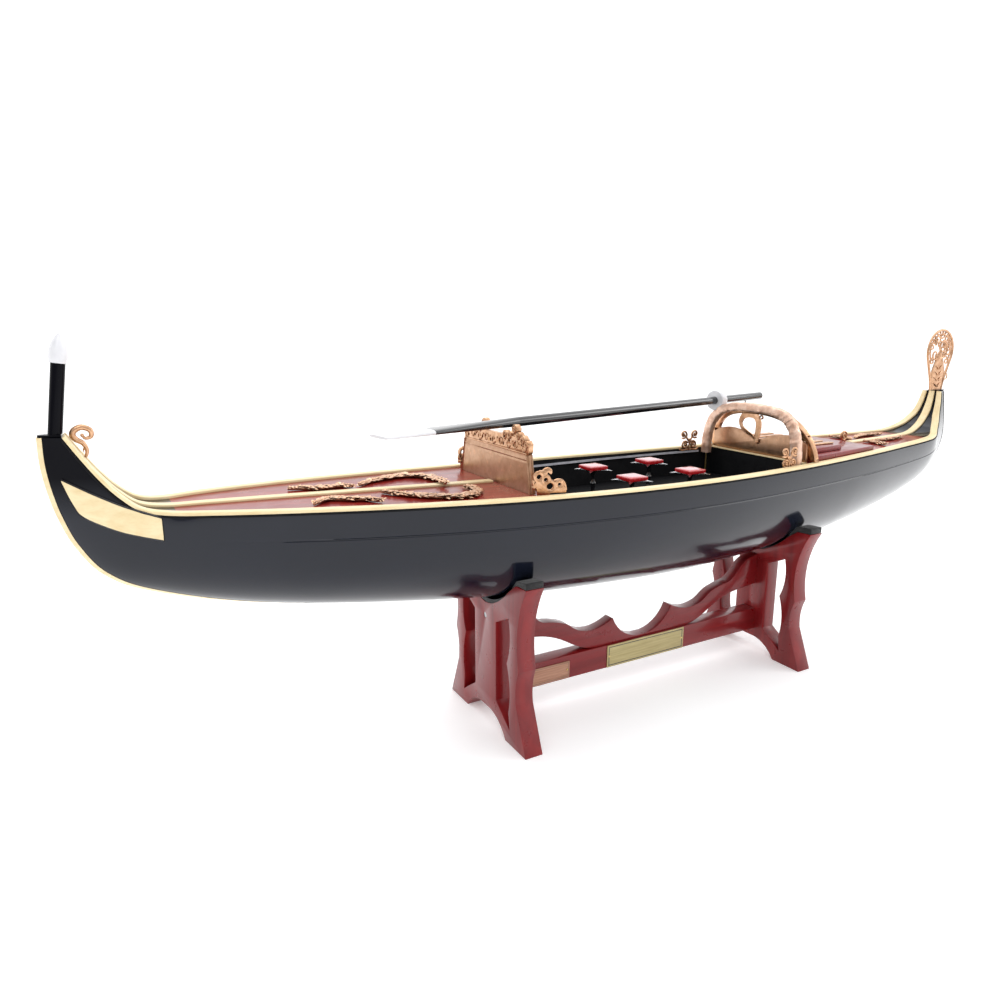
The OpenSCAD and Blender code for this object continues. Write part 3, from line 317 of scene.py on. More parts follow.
class Geo:
    """Vertices in millimetres and faces, collected before they become one piece."""

    def __init__(self):
        self.v = []
        self.f = []

    def add(self, verts, faces):
        base = len(self.v)
        self.v += [V(p) for p in verts]
        self.f += [tuple(base + i for i in face) for face in faces]

    def loft(self, rings, caps=True, closed=True):
        n, m = len(rings[0]), len(rings)
        last = n if closed else n - 1
        faces = [(k * n + i, k * n + (i + 1) % n, (k + 1) * n + (i + 1) % n, (k + 1) * n + i)
                 for k in range(m - 1) for i in range(last)]
        if caps:
            faces += [tuple(range(n)), tuple(reversed(range((m - 1) * n, m * n)))]
        self.add([p for ring in rings for p in ring], faces)

    def tube(self, path, radius, sides=8, flat=1.0):
        """A round or flattened bar along a path; radius is a number or a function of 0 to 1."""
        path = [V(p) for p in path]
        rings = []
        for k, p in enumerate(path):
            t = (path[min(k + 1, len(path) - 1)] - path[max(k - 1, 0)]).normalized()
            u = V((0, 1, 0)).cross(t)
            u = (u if u.length > 1e-6 else V((1, 0, 0)).cross(t)).normalized()
            w = t.cross(u)
            r = radius(k / (len(path) - 1)) if callable(radius) else radius
            rings.append([p + u * r * c + w * r * flat * s for c, s in circle(sides)])
        self.loft(rings)

    def ball(self, centre, r, n=8):
        rings = []
        for k in range(n + 1):
            a = pi * (k + 0.05) / (n + 0.1)
            rings.append([V(centre) + V((r * math.sin(a) * c, r * math.sin(a) * s, -r * math.cos(a)))
                          for c, s in circle(n)])
        self.loft(rings)

    def ring(self, centre, r, wire, n=28, sides=8):
        """A closed round wire, upright and seen as a circle from the side."""
        middle, up = V(centre), V((0, 1, 0))
        rings = []
        for c, s in circle(n):
            out = V((c, 0, s))
            rings.append([middle + out * (r + wire * cc) + up * wire * ss for cc, ss in circle(sides)])
        rings.append(rings[0])
        self.loft(rings, caps=False)

    def mirrored(self):
        """Adds the mirror image on the boat's other side."""
        n = len(self.v)
        self.v += [V((p.x, -p.y, p.z)) for p in self.v[:n]]
        self.f += [tuple(reversed([n + i for i in face])) for face in self.f]
        return self

    def piece(self, name, mat, body="boat", nodes=(), sharp=40):
        mesh = bpy.data.meshes.new(name)
        mesh.from_pydata([p * MM for p in self.v], [], self.f)
        bm = bmesh.new()
        bm.from_mesh(mesh)
        bmesh.ops.remove_doubles(bm, verts=bm.verts, dist=1e-6)
        bmesh.ops.recalc_face_normals(bm, faces=bm.faces)
        bm.to_mesh(mesh)
        bm.free()
        return install(name, mesh, mat, body, nodes, sharp)


def install(name, mesh, mat, body, nodes=(), sharp=40):
    """Makes a mesh a piece that rides on a body and stands in for the named nodes."""
    for p in mesh.polygons:
        p.use_smooth = True
    mesh.set_sharp_from_angle(angle=math.radians(sharp))
    mesh.materials.clear()
    mesh.materials.append(MATS[mat])
    obj = bpy.data.objects.new(name, mesh)
    bpy.context.scene.collection.objects.link(obj)
    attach(obj, body)
    if nodes:
        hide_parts(*nodes)
    return obj


def rounded(node, mat, width, segments=2):
    """A copy of a CAD node with its sharp edges rounded off."""
    src = frame["nodes"][node]
    bm = bmesh.new()
    bm.from_mesh(src.data)
    bmesh.ops.remove_doubles(bm, verts=bm.verts, dist=2e-6)
    bmesh.ops.dissolve_limit(bm, angle_limit=math.radians(0.6), verts=bm.verts, edges=bm.edges)
    sharp = math.radians(32)
    edges = [e for e in bm.edges if len(e.link_faces) == 2 and e.calc_face_angle(0) > sharp]
    bmesh.ops.bevel(bm, geom=edges, offset=width * MM, segments=segments, profile=0.5, affect="EDGES",
                    clamp_overlap=True)
    mesh = bpy.data.meshes.new(node + "_finished")
    bm.to_mesh(mesh)
    bm.free()
    return install(node + "_finished", mesh, mat, src["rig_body"], (node,), 50)


def blend4(a, b, c, d, t):
    return 0.5 * (2 * b + (c - a) * t + (2 * a - 5 * b + 4 * c - d) * t * t
                  + (3 * b - a - 3 * c + d) * t ** 3)


def along(pts, u):
    """A point of the smooth curve through pts; u counts the points."""
    last = len(pts) - 1
    i = min(max(int(u), 0), last - 1)
    near = [pts[max(i - 1, 0)], pts[i], pts[i + 1], pts[min(i + 2, last)]]
    return [blend4(*q, u - i) for q in zip(*near)]


def smooth(pts, steps):
    return [along(pts, k / steps) for k in range((len(pts) - 1) * steps + 1)]


def lerp(a, b, t):
    return a + (b - a) * t


def clamp(v, low=0.0, high=1.0):
    return min(max(v, low), high)


def ease(v):
    v = clamp(v)
    return v * v * (3 - 2 * v)


# ---------------------------------------------------------------- hull lines

# The hull's stations from bow to stern: x of the sheer, half breadth, height of the
# sheer, and x and height of the keel.
LINES = [
    (-434.2, 9.5, 262, -446, 262), (-426.5, 11.5, 249, -446.2, 246), (-417.5, 14.5, 235.5, -444.4, 230),
    (-408.5, 18, 225, -440.8, 213.5), (-398, 22.5, 217, -434, 195), (-383, 28, 213.8, -421, 176),
    (-358, 37.5, 213, -397, 161.5), (-310, 50.5, 211.5, -342, 144), (-240, 63.5, 209, -260, 128.5),
    (-150, 73.8, 206, -150, 114), (-50, 78.5, 203.8, -50, 107.5), (50, 76.2, 202.6, 50, 105),
    (150, 68, 202.8, 150, 110.8), (240, 56.5, 203.8, 246, 119.8), (310, 45.2, 204.8, 330, 134.5),
    (358, 37.2, 205.8, 385, 149.5), (381.5, 31.5, 207.5, 412, 162), (396.5, 23.5, 214, 432.5, 178.5),
    (405.5, 18.5, 222, 441, 193), (411.5, 14.5, 231, 443.4, 208), (415.5, 12, 242, 439.6, 229),
    (417.5, 10, 253.3, 434.8, 253.3),
]
LAST = len(LINES) - 1
KEEL_HALF = 2.5
WALL = 3.0
OPEN_FROM, OPEN_TO = 5.3, 15.7      # the shell is hollow between these stations


def station(s):
    return along(LINES, s)


def half_at(b, t, inset=0.0):
    """The half breadth at a share t of the way up a station of half breadth b."""
    f = clamp((b - 9) / 50)
    return KEEL_HALF + (b - inset - KEEL_HALF) * (1 - (1 - t) ** (1 + 0.8 * f)) ** (0.9 - 0.34 * f)


def find(x, column, low=0.0, high=LAST):
    for _ in range(28):
        mid = (low + high) / 2
        low, high = (low, mid) if station(mid)[column] > x else (mid, high)
    return (low + high) / 2


def hull_point(s, t, side, inset=0.0):
    r = station(s)
    up = V((r[0] - r[3], r[2] - r[4])).normalized() * inset
    return V((lerp(r[3] + up[0], r[0], t), side * half_at(r[1], t, inset), lerp(r[4] + up[1], r[2], t)))


def deck_point(s, y, h):
    """A point at a height above the sheer line, square to it."""
    r, a, b = station(s), station(max(s - 0.05, 0)), station(min(s + 0.05, LAST))
    t = V((b[0] - a[0], b[2] - a[2])).normalized()
    return V((r[0] - t[1] * h, y, r[2] + t[0] * h))


def keel_point(s, y, h):
    """A point at a depth below the keel line, square to it."""
    r, a, b = station(s), station(max(s - 0.05, 0)), station(min(s + 0.05, LAST))
    t = V((b[3] - a[3], b[4] - a[4])).normalized()
    return V((r[3] + t[1] * h, y, r[4] - t[0] * h))


def rows(s0, s1, step=0.1):
    n = max(2, round((s1 - s0) / step))
    return [lerp(s0, s1, k / n) for k in range(n + 1)]


def sheer(x):
    return station(find(x, 0))


def side_point(x, z):
    """The half breadth where the hull's side passes x and z."""
    low, high = 0.0, float(LAST)
    for _ in range(26):
        mid = (low + high) / 2
        r = station(mid)
        ahead = (r[0] - r[3]) * (z - r[4]) - (r[2] - r[4]) * (x - r[3]) > 0
        low, high = (low, mid) if ahead else (mid, high)
    r = station((low + high) / 2)
    use_z = abs(r[2] - r[4]) > abs(r[0] - r[3])
    t = (z - r[4]) / (r[2] - r[4]) if use_z else (x - r[3]) / (r[0] - r[3])
    return half_at(r[1], clamp(t))


# ---------------------------------------------------------------- hull skin

def hull_skin():
    """One smooth skin over the planked hull and both solid heads, with a scribed strake line."""
    g = Geo()
    ss = rows(0, LAST, 0.11)

    def ring(s):
        r = station(s)
        length = math.hypot(r[0] - r[3], r[2] - r[4])
        mark = max(0.4, 1 - 20 / length)
        gap = 0.9 / length
        depth = 0.55 * ease((s - 5.6) * 0.4) * ease((16.6 - s) * 1.4)
        ts = [(mark - gap) * (j / 20) ** 1.5 for j in range(21)]
        ts += [mark - gap * 0.3, mark + gap * 0.3, mark + gap]
        ts += [lerp(mark + gap, 1, j / 5) for j in range(1, 6)]
        cuts = [0.0] * 21 + [depth, depth] + [0.0] * 6
        port, star = [], []
        for t, cut in zip(ts, cuts):
            p = hull_point(s, t, 1)
            port.append(V((p.x, p.y - cut, p.z)))
            star.append(V((p.x, -(p.y - cut), p.z)))
        return list(reversed(star)) + port

    rings = [ring(s) for s in ss]
    g.loft(rings, caps=False, closed=False)
    n = len(rings[0])
    for k in range(len(ss) - 1):
        if ss[k + 1] < OPEN_FROM or ss[k] > OPEN_TO:
            g.f.append((k * n, k * n + n - 1, (k + 1) * n + n - 1, (k + 1) * n))
    g.f.append(tuple(range(n)))
    g.f.append(tuple((len(ss) - 1) * n + i for i in range(n)))
    for side in (-1, 1):
        strip = [[hull_point(s, 1, side), hull_point(s, 1, side, WALL), hull_point(s, 0.82, side, WALL)]
                 for s in ss if OPEN_FROM - 0.2 < s < OPEN_TO + 0.2]
        g.loft(strip, caps=False, closed=False)
    g.piece("hull_skin", "black_lacquer", "boat", ("hull_shell", "bow_head", "stern_head"), 30)


def rail_profile(width, height, r=0.55):
    """The section of a strip with eased upper edges: across and up."""
    k = 0.3 * r
    return [(0, 0), (0, height - r), (k, height - k), (r, height), (width - r, height),
            (width - k, height - k), (width, height - r), (width, 0)]


def strips():
    """The cream strips on the gunwales, decks and stem, and the bead under the gunwales."""
    gap = 0.05
    step = 0.12
    for side, label in ((1, "port"), (-1, "starboard")):
        g = Geo()
        rings = []
        for s in rows(0, LAST, step):
            b = station(s)[1]
            w = min(7, 0.42 * b)
            rings.append([deck_point(s, side * (b - w + y), gap + h)
                          for y, h in rail_profile(w + 0.4, 1.95)])
        g.loft(rings)
        g.piece("gunwale_trim_" + label, "cream_paint", "boat", ("gunwale_" + label,), 50)
    spans = {"bow_centre_strip": (0, find(-149.5, 0)), "stern_centre_strip": (find(280, 0), LAST)}
    for node, (s0, s1) in spans.items():
        g = Geo()
        rings = []
        for s in rows(s0, s1, step):
            half = min(4, 0.29 * station(s)[1])
            rings.append([deck_point(s, y - half, gap + h)
                          for y, h in rail_profile(2 * half, 1.55, 0.45)])
        g.loft(rings)
        g.piece(node + "_trim", "cream_paint", "boat", (node,), 50)
    g = Geo()
    rings = []
    for s in rows(0, find(-300, 3), 0.1):
        r = station(s)
        reach = 1.5 / math.hypot(r[0] - r[3], r[2] - r[4])
        half = []
        for t, out in ((reach, -0.1), (reach, 0.3), (0.5 * reach, 0.5)):
            p = hull_point(s, t, 1)
            half.append(V((p.x, p.y + out, p.z)))
        half += [keel_point(s, 2.3, 1.0), keel_point(s, 1.2, 1.35)]
        rings.append(half + [keel_point(s, 0, 1.4)] + [V((p.x, -p.y, p.z)) for p in reversed(half)])
    g.loft(rings)
    g.piece("stem_strip_trim", "cream_paint", "boat", ("stem_strip",), 50)
    g = Geo()
    line = []
    for s in rows(0.2, LAST - 0.2, step):
        r = station(s)
        p = hull_point(s, 1 - 1.0 / math.hypot(r[0] - r[3], r[2] - r[4]), 1)
        line.append((p.x, p.y + 0.2, p.z))
    g.tube(line, 0.7, 8)
    g.mirrored().piece("sheer_beads", "black_matt", "boat")


def wings():
    """Cream panels on both sides of the bow, edged with a thin black bead."""
    top = smooth([(-437.5, 237), (-428.5, 231.5), (-419, 226), (-409, 220.8), (-398.7, 216.4),
                  (-388, 212.4)], 6)
    low = smooth([(-437.5, 236), (-433, 222.5), (-428, 214.5), (-412, 206), (-400, 202),
                  (-388, 199)], 6)

    def on(p, out):
        return V((p[0], side_point(p[0], p[1]) + out, p[1]))

    panel, bead = Geo(), Geo()
    rings = []
    for a, b in zip(low, top):
        inner = [[lerp(a[0], b[0], k / 4), lerp(a[1], b[1], k / 4)] for k in range(5)]
        rings.append([on(p, 0.2) for p in inner] + [on(p, 1.1 if 0 < k < 4 else 0.9) for k, p in
                                                   reversed(list(enumerate(inner)))])
    panel.loft(rings)
    panel.mirrored().piece("wing_panel_finished", "cream_paint", "boat", ("wing_panels",), 50)
    for line, shift in ((top, 0.7), (low, -0.7)):
        bead.tube([on((p[0], p[1] + shift), 0.35) for p in line], 0.62, 8)
    bead.mirrored().piece("wing_beads", "black_lacquer", "boat")


# ---------------------------------------------------------------- castings

def spiral(centre, r0, r1, start, turns, n=26, plane="xz", offset=0.0):
    """Points of a flat spiral whose radius goes from r0 to r1."""
    out = []
    for k in range(n + 1):
        f = k / n
        a = math.radians(start) + 2 * pi * turns * f
        r = lerp(r0, r1, f)
        p, q = centre[0] + r * math.cos(a), centre[1] + r * math.sin(a)
        out.append({"xz": (p, offset, q), "yz": (offset, p, q), "xy": (p, q, offset)}[plane])
    return out


def leaf(g, base, angle, length, width, lift, curl):
    """A pointed leaf with a raised rib, lying on the deck and curling up at its tip."""
    d = V((math.cos(angle), math.sin(angle), 0))
    w = V((-d.y, d.x, 0))
    rings = []
    for k in range(7):
        u = k / 6
        c = V(base) + d * length * u + V((0, 0, lift * math.sin(pi * 0.85 * u) + curl * u * u))
        half = width * max(0.06, math.sin(pi * (0.12 + 0.86 * u))) ** 0.8
        thick = 0.55 * (1 - 0.5 * u)
        up = V((0, 0, thick))
        rings.append([c - w * half, c - w * half * 0.45 + up * 0.5, c + up,
                      c + w * half * 0.45 + up * 0.5, c + w * half, c - up * 0.7])
    g.loft(rings)


def garland(g, line, size, rng):
    """A rope of overlapping leaves and berries along a line on the deck."""
    crosses = min(p[1] for p in line) < 0 < max(p[1] for p in line)

    def lift(y):
        """A rope that crosses the centre strip is raised over it."""
        return 1.8 * clamp((13 - abs(y)) / 4.5) if crosses else 0

    pts = [V((x, y, sheer(x)[2] + 0.5 + lift(y))) for x, y in smooth(line, 14)]
    lengths = [0.0]
    for a, b in zip(pts, pts[1:]):
        lengths.append(lengths[-1] + (b - a).length)
    total = lengths[-1]
    g.tube([p + V((0, 0, 0.9)) for p in pts],
           lambda f: 0.32 * size * (0.5 + 0.6 * math.sin(pi * f)) + 0.35, 8)
    count = int(total / 2.1)
    for k in range(count + 1):
        u = total * k / count
        i = max(j for j in range(len(pts)) if lengths[j] <= u + 1e-6)
        i = min(i, len(pts) - 2)
        t = pts[i + 1] - pts[i]
        heading = math.atan2(t.y, t.x)
        f = u / total
        grow = (0.62 + 0.58 * math.sin(pi * f)) * size / 4
        p = pts[i] + t * clamp((u - lengths[i]) / max(t.length, 1e-6))
        for side in (-1, 1):
            turn = heading + side * math.radians(rng.uniform(28, 62))
            leaf(g, p + V((0, 0, rng.uniform(0.2, 1.2))), turn,
                 rng.uniform(4.4, 5.8) * grow, rng.uniform(1.7, 2.4) * grow,
                 rng.uniform(0.7, 1.6), rng.uniform(-0.6, 1.4))
        leaf(g, p + V((0, 0, 1.8)), heading + math.radians(rng.uniform(-26, 26)),
             rng.uniform(3.4, 4.6) * grow, rng.uniform(1.0, 1.4) * grow, 0.9, rng.uniform(-0.6, 0.4))
        if k % 3 == 1:
            side = rng.choice((-1, 1))
            w = V((-t.y, t.x, 0)).normalized()
            g.ball(p + w * side * 1.7 * grow + V((0, 0, 1.9)), 0.85 * grow + 0.2, 7)


# Each garland: points x and y on the deck, and its size.
BOW_GARLANDS = [
    ([(-302, 20), (-289, 17), (-280, 14.5), (-266, 17), (-257, 13)], 3.9),
    ([(-298, -34), (-291, -27), (-285, -22.5), (-272, -28), (-263, -32), (-254, -41)], 4),
    ([(-251, 16), (-238, 27), (-220, 36), (-203, 38.5), (-192, 30), (-189, 18), (-190, 8),
      (-192, -8)], 4.6),
    ([(-244, -13), (-232, -28), (-214, -42), (-196, -47), (-181, -38), (-177, -24),
      (-181, -20)], 4.6),
]
STERN_GARLANDS = [
    ([(306, 12), (322, 17), (338, 17), (352, 12.5)], 3.4),
    ([(308, -11), (322, -13), (338, -12.5), (356, -9.5)], 3.4),
    ([(294, -7), (297, -14), (297, -24), (294, -33)], 3.2),
    ([(294, 7), (297, 14), (297, 24), (294, 33)], 3.2),
]


def garlands():
    rng = random.Random(7)
    for node, lines in (("bow_garlands", BOW_GARLANDS), ("stern_garlands", STERN_GARLANDS)):
        g = Geo()
        for line, size in lines:
            garland(g, line, size, rng)
        g.piece(node + "_cast", "garland_gilt", "boat", (node,), 60)


def bow_curl():
    g = Geo()
    line = [(-423.6, 248.6), (-422.4, 252.4), (-424, 257), (-427.2, 259.3), (-429, 262),
            (-427.8, 265), (-423.8, 266.6), (-419.6, 264.6), (-419.4, 261), (-422.4, 259.9),
            (-424, 261.8)]
    path = [(x, 0, z) for x, z in smooth(line, 5)]
    g.tube(path, lambda f: 0.7 + 1.15 * math.sin(pi * clamp(f * 0.95 + 0.05)) ** 1.2, 10, 0.85)
    g.ball((-424, 0, 261.8), 1.1, 8)
    for x, z, turn in ((-423.4, 254, 200), (-425.6, 258.2, 250), (-422.8, 250.4, 20)):
        a = math.radians(turn)
        g.tube([(x + u * 2.6 * math.cos(a + u * 0.9), 0, z + u * 2.6 * math.sin(a + u * 0.9))
                for u in (0, 0.25, 0.5, 0.75, 1)], lambda f: 0.75 * (1 - 0.8 * f), 7)
    g.piece("bow_curl_cast", "rose_gilt", "boat", ("bow_curl",), 60)


def seat_back():
    """The seat back: a plate with a moulding across it and beaded side edges."""
    low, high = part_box("seat_back")
    z0, z1, x0, x1 = low.z / MM, high.z / MM, low.x / MM, high.x / MM
    half0 = high.y / MM
    g = Geo()
    rings = []
    columns = 14
    edge = [(half0, 0), (half0 - 1.2, 8), (half0 - 3.2, 18), (half0 - 5, z1 - z0)]
    for half, h in smooth(edge, 12):
        z = z0 + h
        ridge = 0.7 * math.exp(-((h - 24.6) / 0.9) ** 2) + (0.5 if h < 23.6 else 0.0)
        back, front = x0 + 1.4 - ridge, x1 - 1.4 + ridge
        rib = [(x0 + 0.15, -0.9), (x0 + 0.7, -0.2), (x0 + 1.7, -0.75), (x0 + 2.5, -0.1),
               (x0 + 3.5, -0.1), (x0 + 4.3, -0.75), (x1 - 0.7, -0.2), (x1 - 0.15, -0.9)]
        inner = half - 1.8
        ring = [(back, lerp(-inner, inner, k / columns), z) for k in range(columns + 1)]
        ring += [(x, half + out, z) for x, out in rib]
        ring += [(front, lerp(inner, -inner, k / columns), z) for k in range(columns + 1)]
        ring += [(x, -half - out, z) for x, out in reversed(rib)]
        rings.append(ring)
    g.loft(rings)
    g.piece("seat_back_panel", "panel_gilt", "boat", ("seat_back",), 28)


def seat_crest():
    """The pierced crest: small scrolls and beads on both faces of its band and in its lobes."""
    rounded("seat_crest", "rose_gilt", 0.45)
    low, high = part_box("seat_crest")
    x = middle_of(low.x, high.x)
    z0 = low.z / MM
    lobes = ((-49, 7.4, 2.4), (-43, 9.6, 3.1), (-37, 12, 2.6), (-31.5, 16.4, 3.1), (-24.5, 11.4, 2.6),
             (-17, 10.8, 3.0), (16, 16.5, 3.1), (22.6, 11.2, 2.6), (30, 9.2, 3.1))
    g = Geo()
    for y, h, r in lobes:
        turn = 1 if y < 0 else -1
        for face in (-2, 2):
            g.tube(spiral((y, z0 + h), r, r * 0.35, 90 + 60 * turn, turn * 1.1, 24, "yz", x + face), 0.7, 7)
    for face in (-2, 2):
        for k in range(9):
            y = -46 + 11.6 * k
            turn = -1 if k % 2 else 1
            g.tube(spiral((y, z0 + 5.2), 3.4, 1.1, 200 * turn, turn * 0.95, 20, "yz", x + face), 0.6, 7)
            g.ball((x + face, y + 5.6, z0 + 7.4), 0.9, 7)
        g.tube([(x + face, -50 + 10 * k, z0 + 0.9) for k in range(11)], 0.7, 7)
    g.piece("seat_crest_scrolls", "rose_gilt", "boat")


def arm_scrolls():
    """The two arm scrolls: wire-edged plates with ringed eyes, turned outward in plan."""
    rounded("arm_scrolls", "rose_gilt", 0.5)
    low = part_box("arm_scrolls")[0]
    z0 = low.z / MM + 1.9
    foot_x, foot_y = -148, 60.5
    turn = math.radians(16.2)

    def at(u, h):
        return (foot_x + u * math.cos(turn), foot_y + u * math.sin(turn), z0 + h)

    def bend(steps, *line):
        return [at(u, h) for u, h in smooth(line, steps)]

    g = Geo()
    g.tube(bend(5, (4.2, 15.4), (7.2, 15.4), (8.6, 17), (11.2, 17.6), (13.2, 16), (12.4, 14.4)),
           lambda f: 1.5 - 0.6 * f, 8)
    for u, h, r in ((4.2, 12, 3.0), (9.2, 9.8, 2.7), (12.4, 4.8, 3.7), (19.4, 6, 2.6)):
        g.tube([at(p[0], p[2]) for p in spiral((u, h), r, r - 0.1, 0, 1.02, 22)], 1.35, 8)
    g.tube(bend(4, (15.6, 8.4), (18, 9.2), (21.4, 8.6), (23.6, 5.6), (24.4, 1.4)), 1.0, 8)
    g.tube(bend(4, (0.6, 9.6), (0.2, 7), (2.4, 4.6), (5.4, 3), (9, 0.6)), 1.3, 8)
    g.ball(at(0.6, 4.4), 1.7, 8)
    g.mirrored().piece("arm_scroll_wires", "rose_gilt", "boat")


def signed_power(v, power):
    return math.copysign(abs(v) ** power, v)


def arch(half, height, star, port, a):
    """A point of a rounded arch; its two shoulders differ in roundness."""
    c, s = math.cos(a), math.sin(a)
    power = 2 / (star if c < 0 else port)
    return (half * signed_power(c, power), height * max(s, 0.0) ** power)


def front_hoop():
    """The front hoop: a band wrapped round with hammered sheet, whose turns overlap."""
    low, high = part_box("front_hoop")
    x, z0 = middle_of(low.x, high.x), low.z / MM
    half, height = high.y / MM, (high.z - low.z) / MM
    leg, crown = 11.5, 9.5      # width of the band at its feet and at its top
    g = Geo()
    n = 150
    rings = []
    rng = random.Random(3)
    wraps = sorted(rng.uniform(0.03, 0.97) for _ in range(13))
    for k in range(n + 1):
        f = k / n
        a = pi * (1 - f)
        step = sum(1 for w in wraps if w < f)
        swell = 0.35 * math.sin(step * 2.7) + 0.8 * noise.noise(V((f * 26, step * 3.1, 0)))
        outer = V(arch(half, height, 3.6, 2.8, a))
        inner = V(arch(half - leg, height - crown, 3.8, 3.1, a))
        mid, across = (outer + inner) / 2, (outer - inner) / 2
        rad = (across.length - 0.7 + 0.6 * swell) / max(across.length, 1e-6)
        thick = 3.5 + 0.35 * math.sin(step * 1.9 + 1) + 0.6 * noise.noise(V((f * 20, 5, step)))
        ring = []
        for c, s in circle(16):
            dent = 1 + 0.09 * noise.noise(V((f * 60, c * 2, s * 2)))
            q = mid + across * rad * signed_power(c, 0.55) * dent
            ring.append((x + thick * signed_power(s, 0.55) * dent, q[0], z0 + max(q[1], 0.05)))
        rings.append(ring)
    g.loft(rings)
    g.piece("front_hoop_wrapped", "pink_bronze", "boat", ("front_hoop",), 35)


def ribbon():
    """The curling band that stands on the rear board."""
    low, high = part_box("ribbon_scroll")
    x, z0 = middle_of(low.x, high.x), low.z / MM
    g = Geo()
    line = smooth([(0.1, z0 + 0.6), (0.4, 219), (-0.8, 226), (-0.9, 234), (2.4, 239.6), (9, 241.4),
                   (17.4, 239.6), (21.4, 233.6), (19, 227.4), (12.4, 223.6), (6.6, 221), (2.8, 218)], 5)
    n = len(line) - 1
    rings = []
    for k, (y, z) in enumerate(line):
        f = k / n
        a, b = line[max(k - 1, 0)], line[min(k + 1, n)]
        t = V((0, b[0] - a[0], b[1] - a[1])).normalized()
        turn = math.radians(lerp(0, 62, ease(f * 2.2 - 0.9)) - lerp(0, 30, ease(f * 3 - 2)))
        flat = V((1, 0, 0)).cross(t)
        w = (flat * math.cos(turn) + V((0.35, 0, 0)) * math.sin(turn))
        half = (2.4 + 0.9 * ease(f * 4)) * (1 - 0.5 * ease(f * 4 - 3))
        c = V((x, y, z))
        up = t.cross(w).normalized() * 0.42
        rings.append([c - w * half - up, c - w * half + up, c + up * 1.8,
                      c + w * half + up, c + w * half - up, c - up * 0.2])
    g.loft(rings)
    g.tube(spiral((-4, 239.4), 2.6, 0.9, -60, 0.95, 18, "yz", x), 0.8, 8)
    g.ball((x, 0.1, z0 + 0.9), 1.4, 8)
    g.piece("ribbon_band", "rose_gilt", "boat", ("ribbon_scroll",), 40)


def sea_horses():
    """Bent-wire scrolls standing in pairs on the ledges of both cockpit walls."""
    low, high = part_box("sea_horses")
    x, z0 = middle_of(low.x, high.x), low.z / MM
    ledge_y, ledge_turn = 62.75, -4.9
    g = Geo()
    wire = 1.0
    for side in (-1, 1):
        upper, lower = (x + side * 6.9, z0 + 17), (x + side * 5.0, z0 + 6.2)
        g.tube(spiral(upper, 4.3, 1.4, 90 - side * 150, side * -1.25, 34), wire, 8)
        g.tube(spiral(lower, 4.0, 1.5, 90 + side * 60, side * -1.3, 30), wire, 8)
        g.tube([(x + side * u, 0, z0 + v) for u, v in
                smooth([(1.0, 10.6), (2.6, 12.4), (3.4, 14.6), (3.0, 16.8)], 5)], wire, 8)
        g.tube([(x + side * u, 0, z0 + v) for u, v in
                smooth([(0.4, 1.0), (3.4, 1.4), (6.4, 0.9), (9.6, 1.0), (11.4, 2.6)], 4)], wire * 0.9, 8)
        g.ball((upper[0], 0, upper[1]), 1.5, 8)
        g.ball((lower[0], 0, lower[1]), 1.4, 8)
    stem = ((0, 0.7), (-0.6, 3.5), (0.6, 7), (0, 10), (0, 12.4))
    g.tube([(x + u, 0, z0 + v) for u, v in stem], wire, 8)
    g.ball((x, 0, z0 + 11.4), 1.5, 8)
    turn = Matrix.Rotation(math.radians(ledge_turn), 3, "Z")
    middle = V((x, 0, 0))
    g.v = [turn @ (p - middle) + V((x, ledge_y, 0)) for p in g.v]
    g.mirrored().piece("sea_horse_wires", "rose_gilt", "boat", ("sea_horses",))


def deck_ring():
    """The knotted ring that stands on a leafy foot at the end of the stern's centre strip."""
    low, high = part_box("deck_ring")
    x, z0 = middle_of(low.x, high.x), low.z / MM
    g = Geo()
    g.ring((x, 0, z0 + 8.4), 4.2, 1.05)
    g.tube(spiral((x + 1.2, z0 + 8.8), 3.0, 1.1, 180, 0.9, 20, "xz", 1.2), 0.7, 8)
    g.tube(spiral((x - 1.2, z0 + 8), 2.8, 1.0, 0, 0.9, 20, "xz", -1.2), 0.7, 8)
    foot = ((0, 2.2), (0.6, 2.2), (1.0, 1.7), (1.8, 1.2), (3, 1.0), (4.2, 1.3))
    g.loft([[(x + r * c, r * s, z0 + z) for c, s in circle(24)] for z, r in foot])
    for k in range(5):
        leaf(g, (x, 0, z0 + 0.2), 2 * pi * k / 5, 4.2, 1.2, 0.8, 0.2)
    g.piece("deck_ring_knot", "rose_gilt", "boat", ("deck_ring",))


# The fan's scrolls: place of the middle from the fan's own, radii, start, turns, wire.
FAN_SCROLLS = (
    (3, 3, 11.5, 3.4, 250, 0.95, 1.15), (-8.5, -4, 6.6, 2.0, 20, -1.1, 0.95),
    (-6, 12, 5.2, 1.6, 200, -1.1, 0.9), (9.5, 12.5, 5.0, 1.5, -40, 1.1, 0.85),
    (14.5, -1, 5.0, 1.8, 100, -1.0, 0.9), (3.5, 2.5, 5.0, 1.6, 70, -1.0, 0.95),
    (-15.8, 4.8, 4.0, 1.4, 80, 1.1, 0.8), (1.4, 17.2, 4.0, 1.3, 180, 1.0, 0.8),
    (12.6, -11, 4.2, 1.4, 90, -1.0, 0.85), (-13, -11.4, 4.0, 1.4, 60, 1.0, 0.85),
    (6, 7, 4.6, 1.6, 120, -1.0, 0.85), (-2, 7, 4.2, 1.4, 30, 1.1, 0.85),
    (-12, 9.6, 3.8, 1.2, 300, 1.1, 0.8), (15.4, 6.6, 3.8, 1.3, 200, -1.1, 0.8),
    (-3.6, -6.4, 4.2, 1.4, 130, 1.0, 0.85), (8.4, -5, 4.2, 1.4, 0, 1.0, 0.85),
)


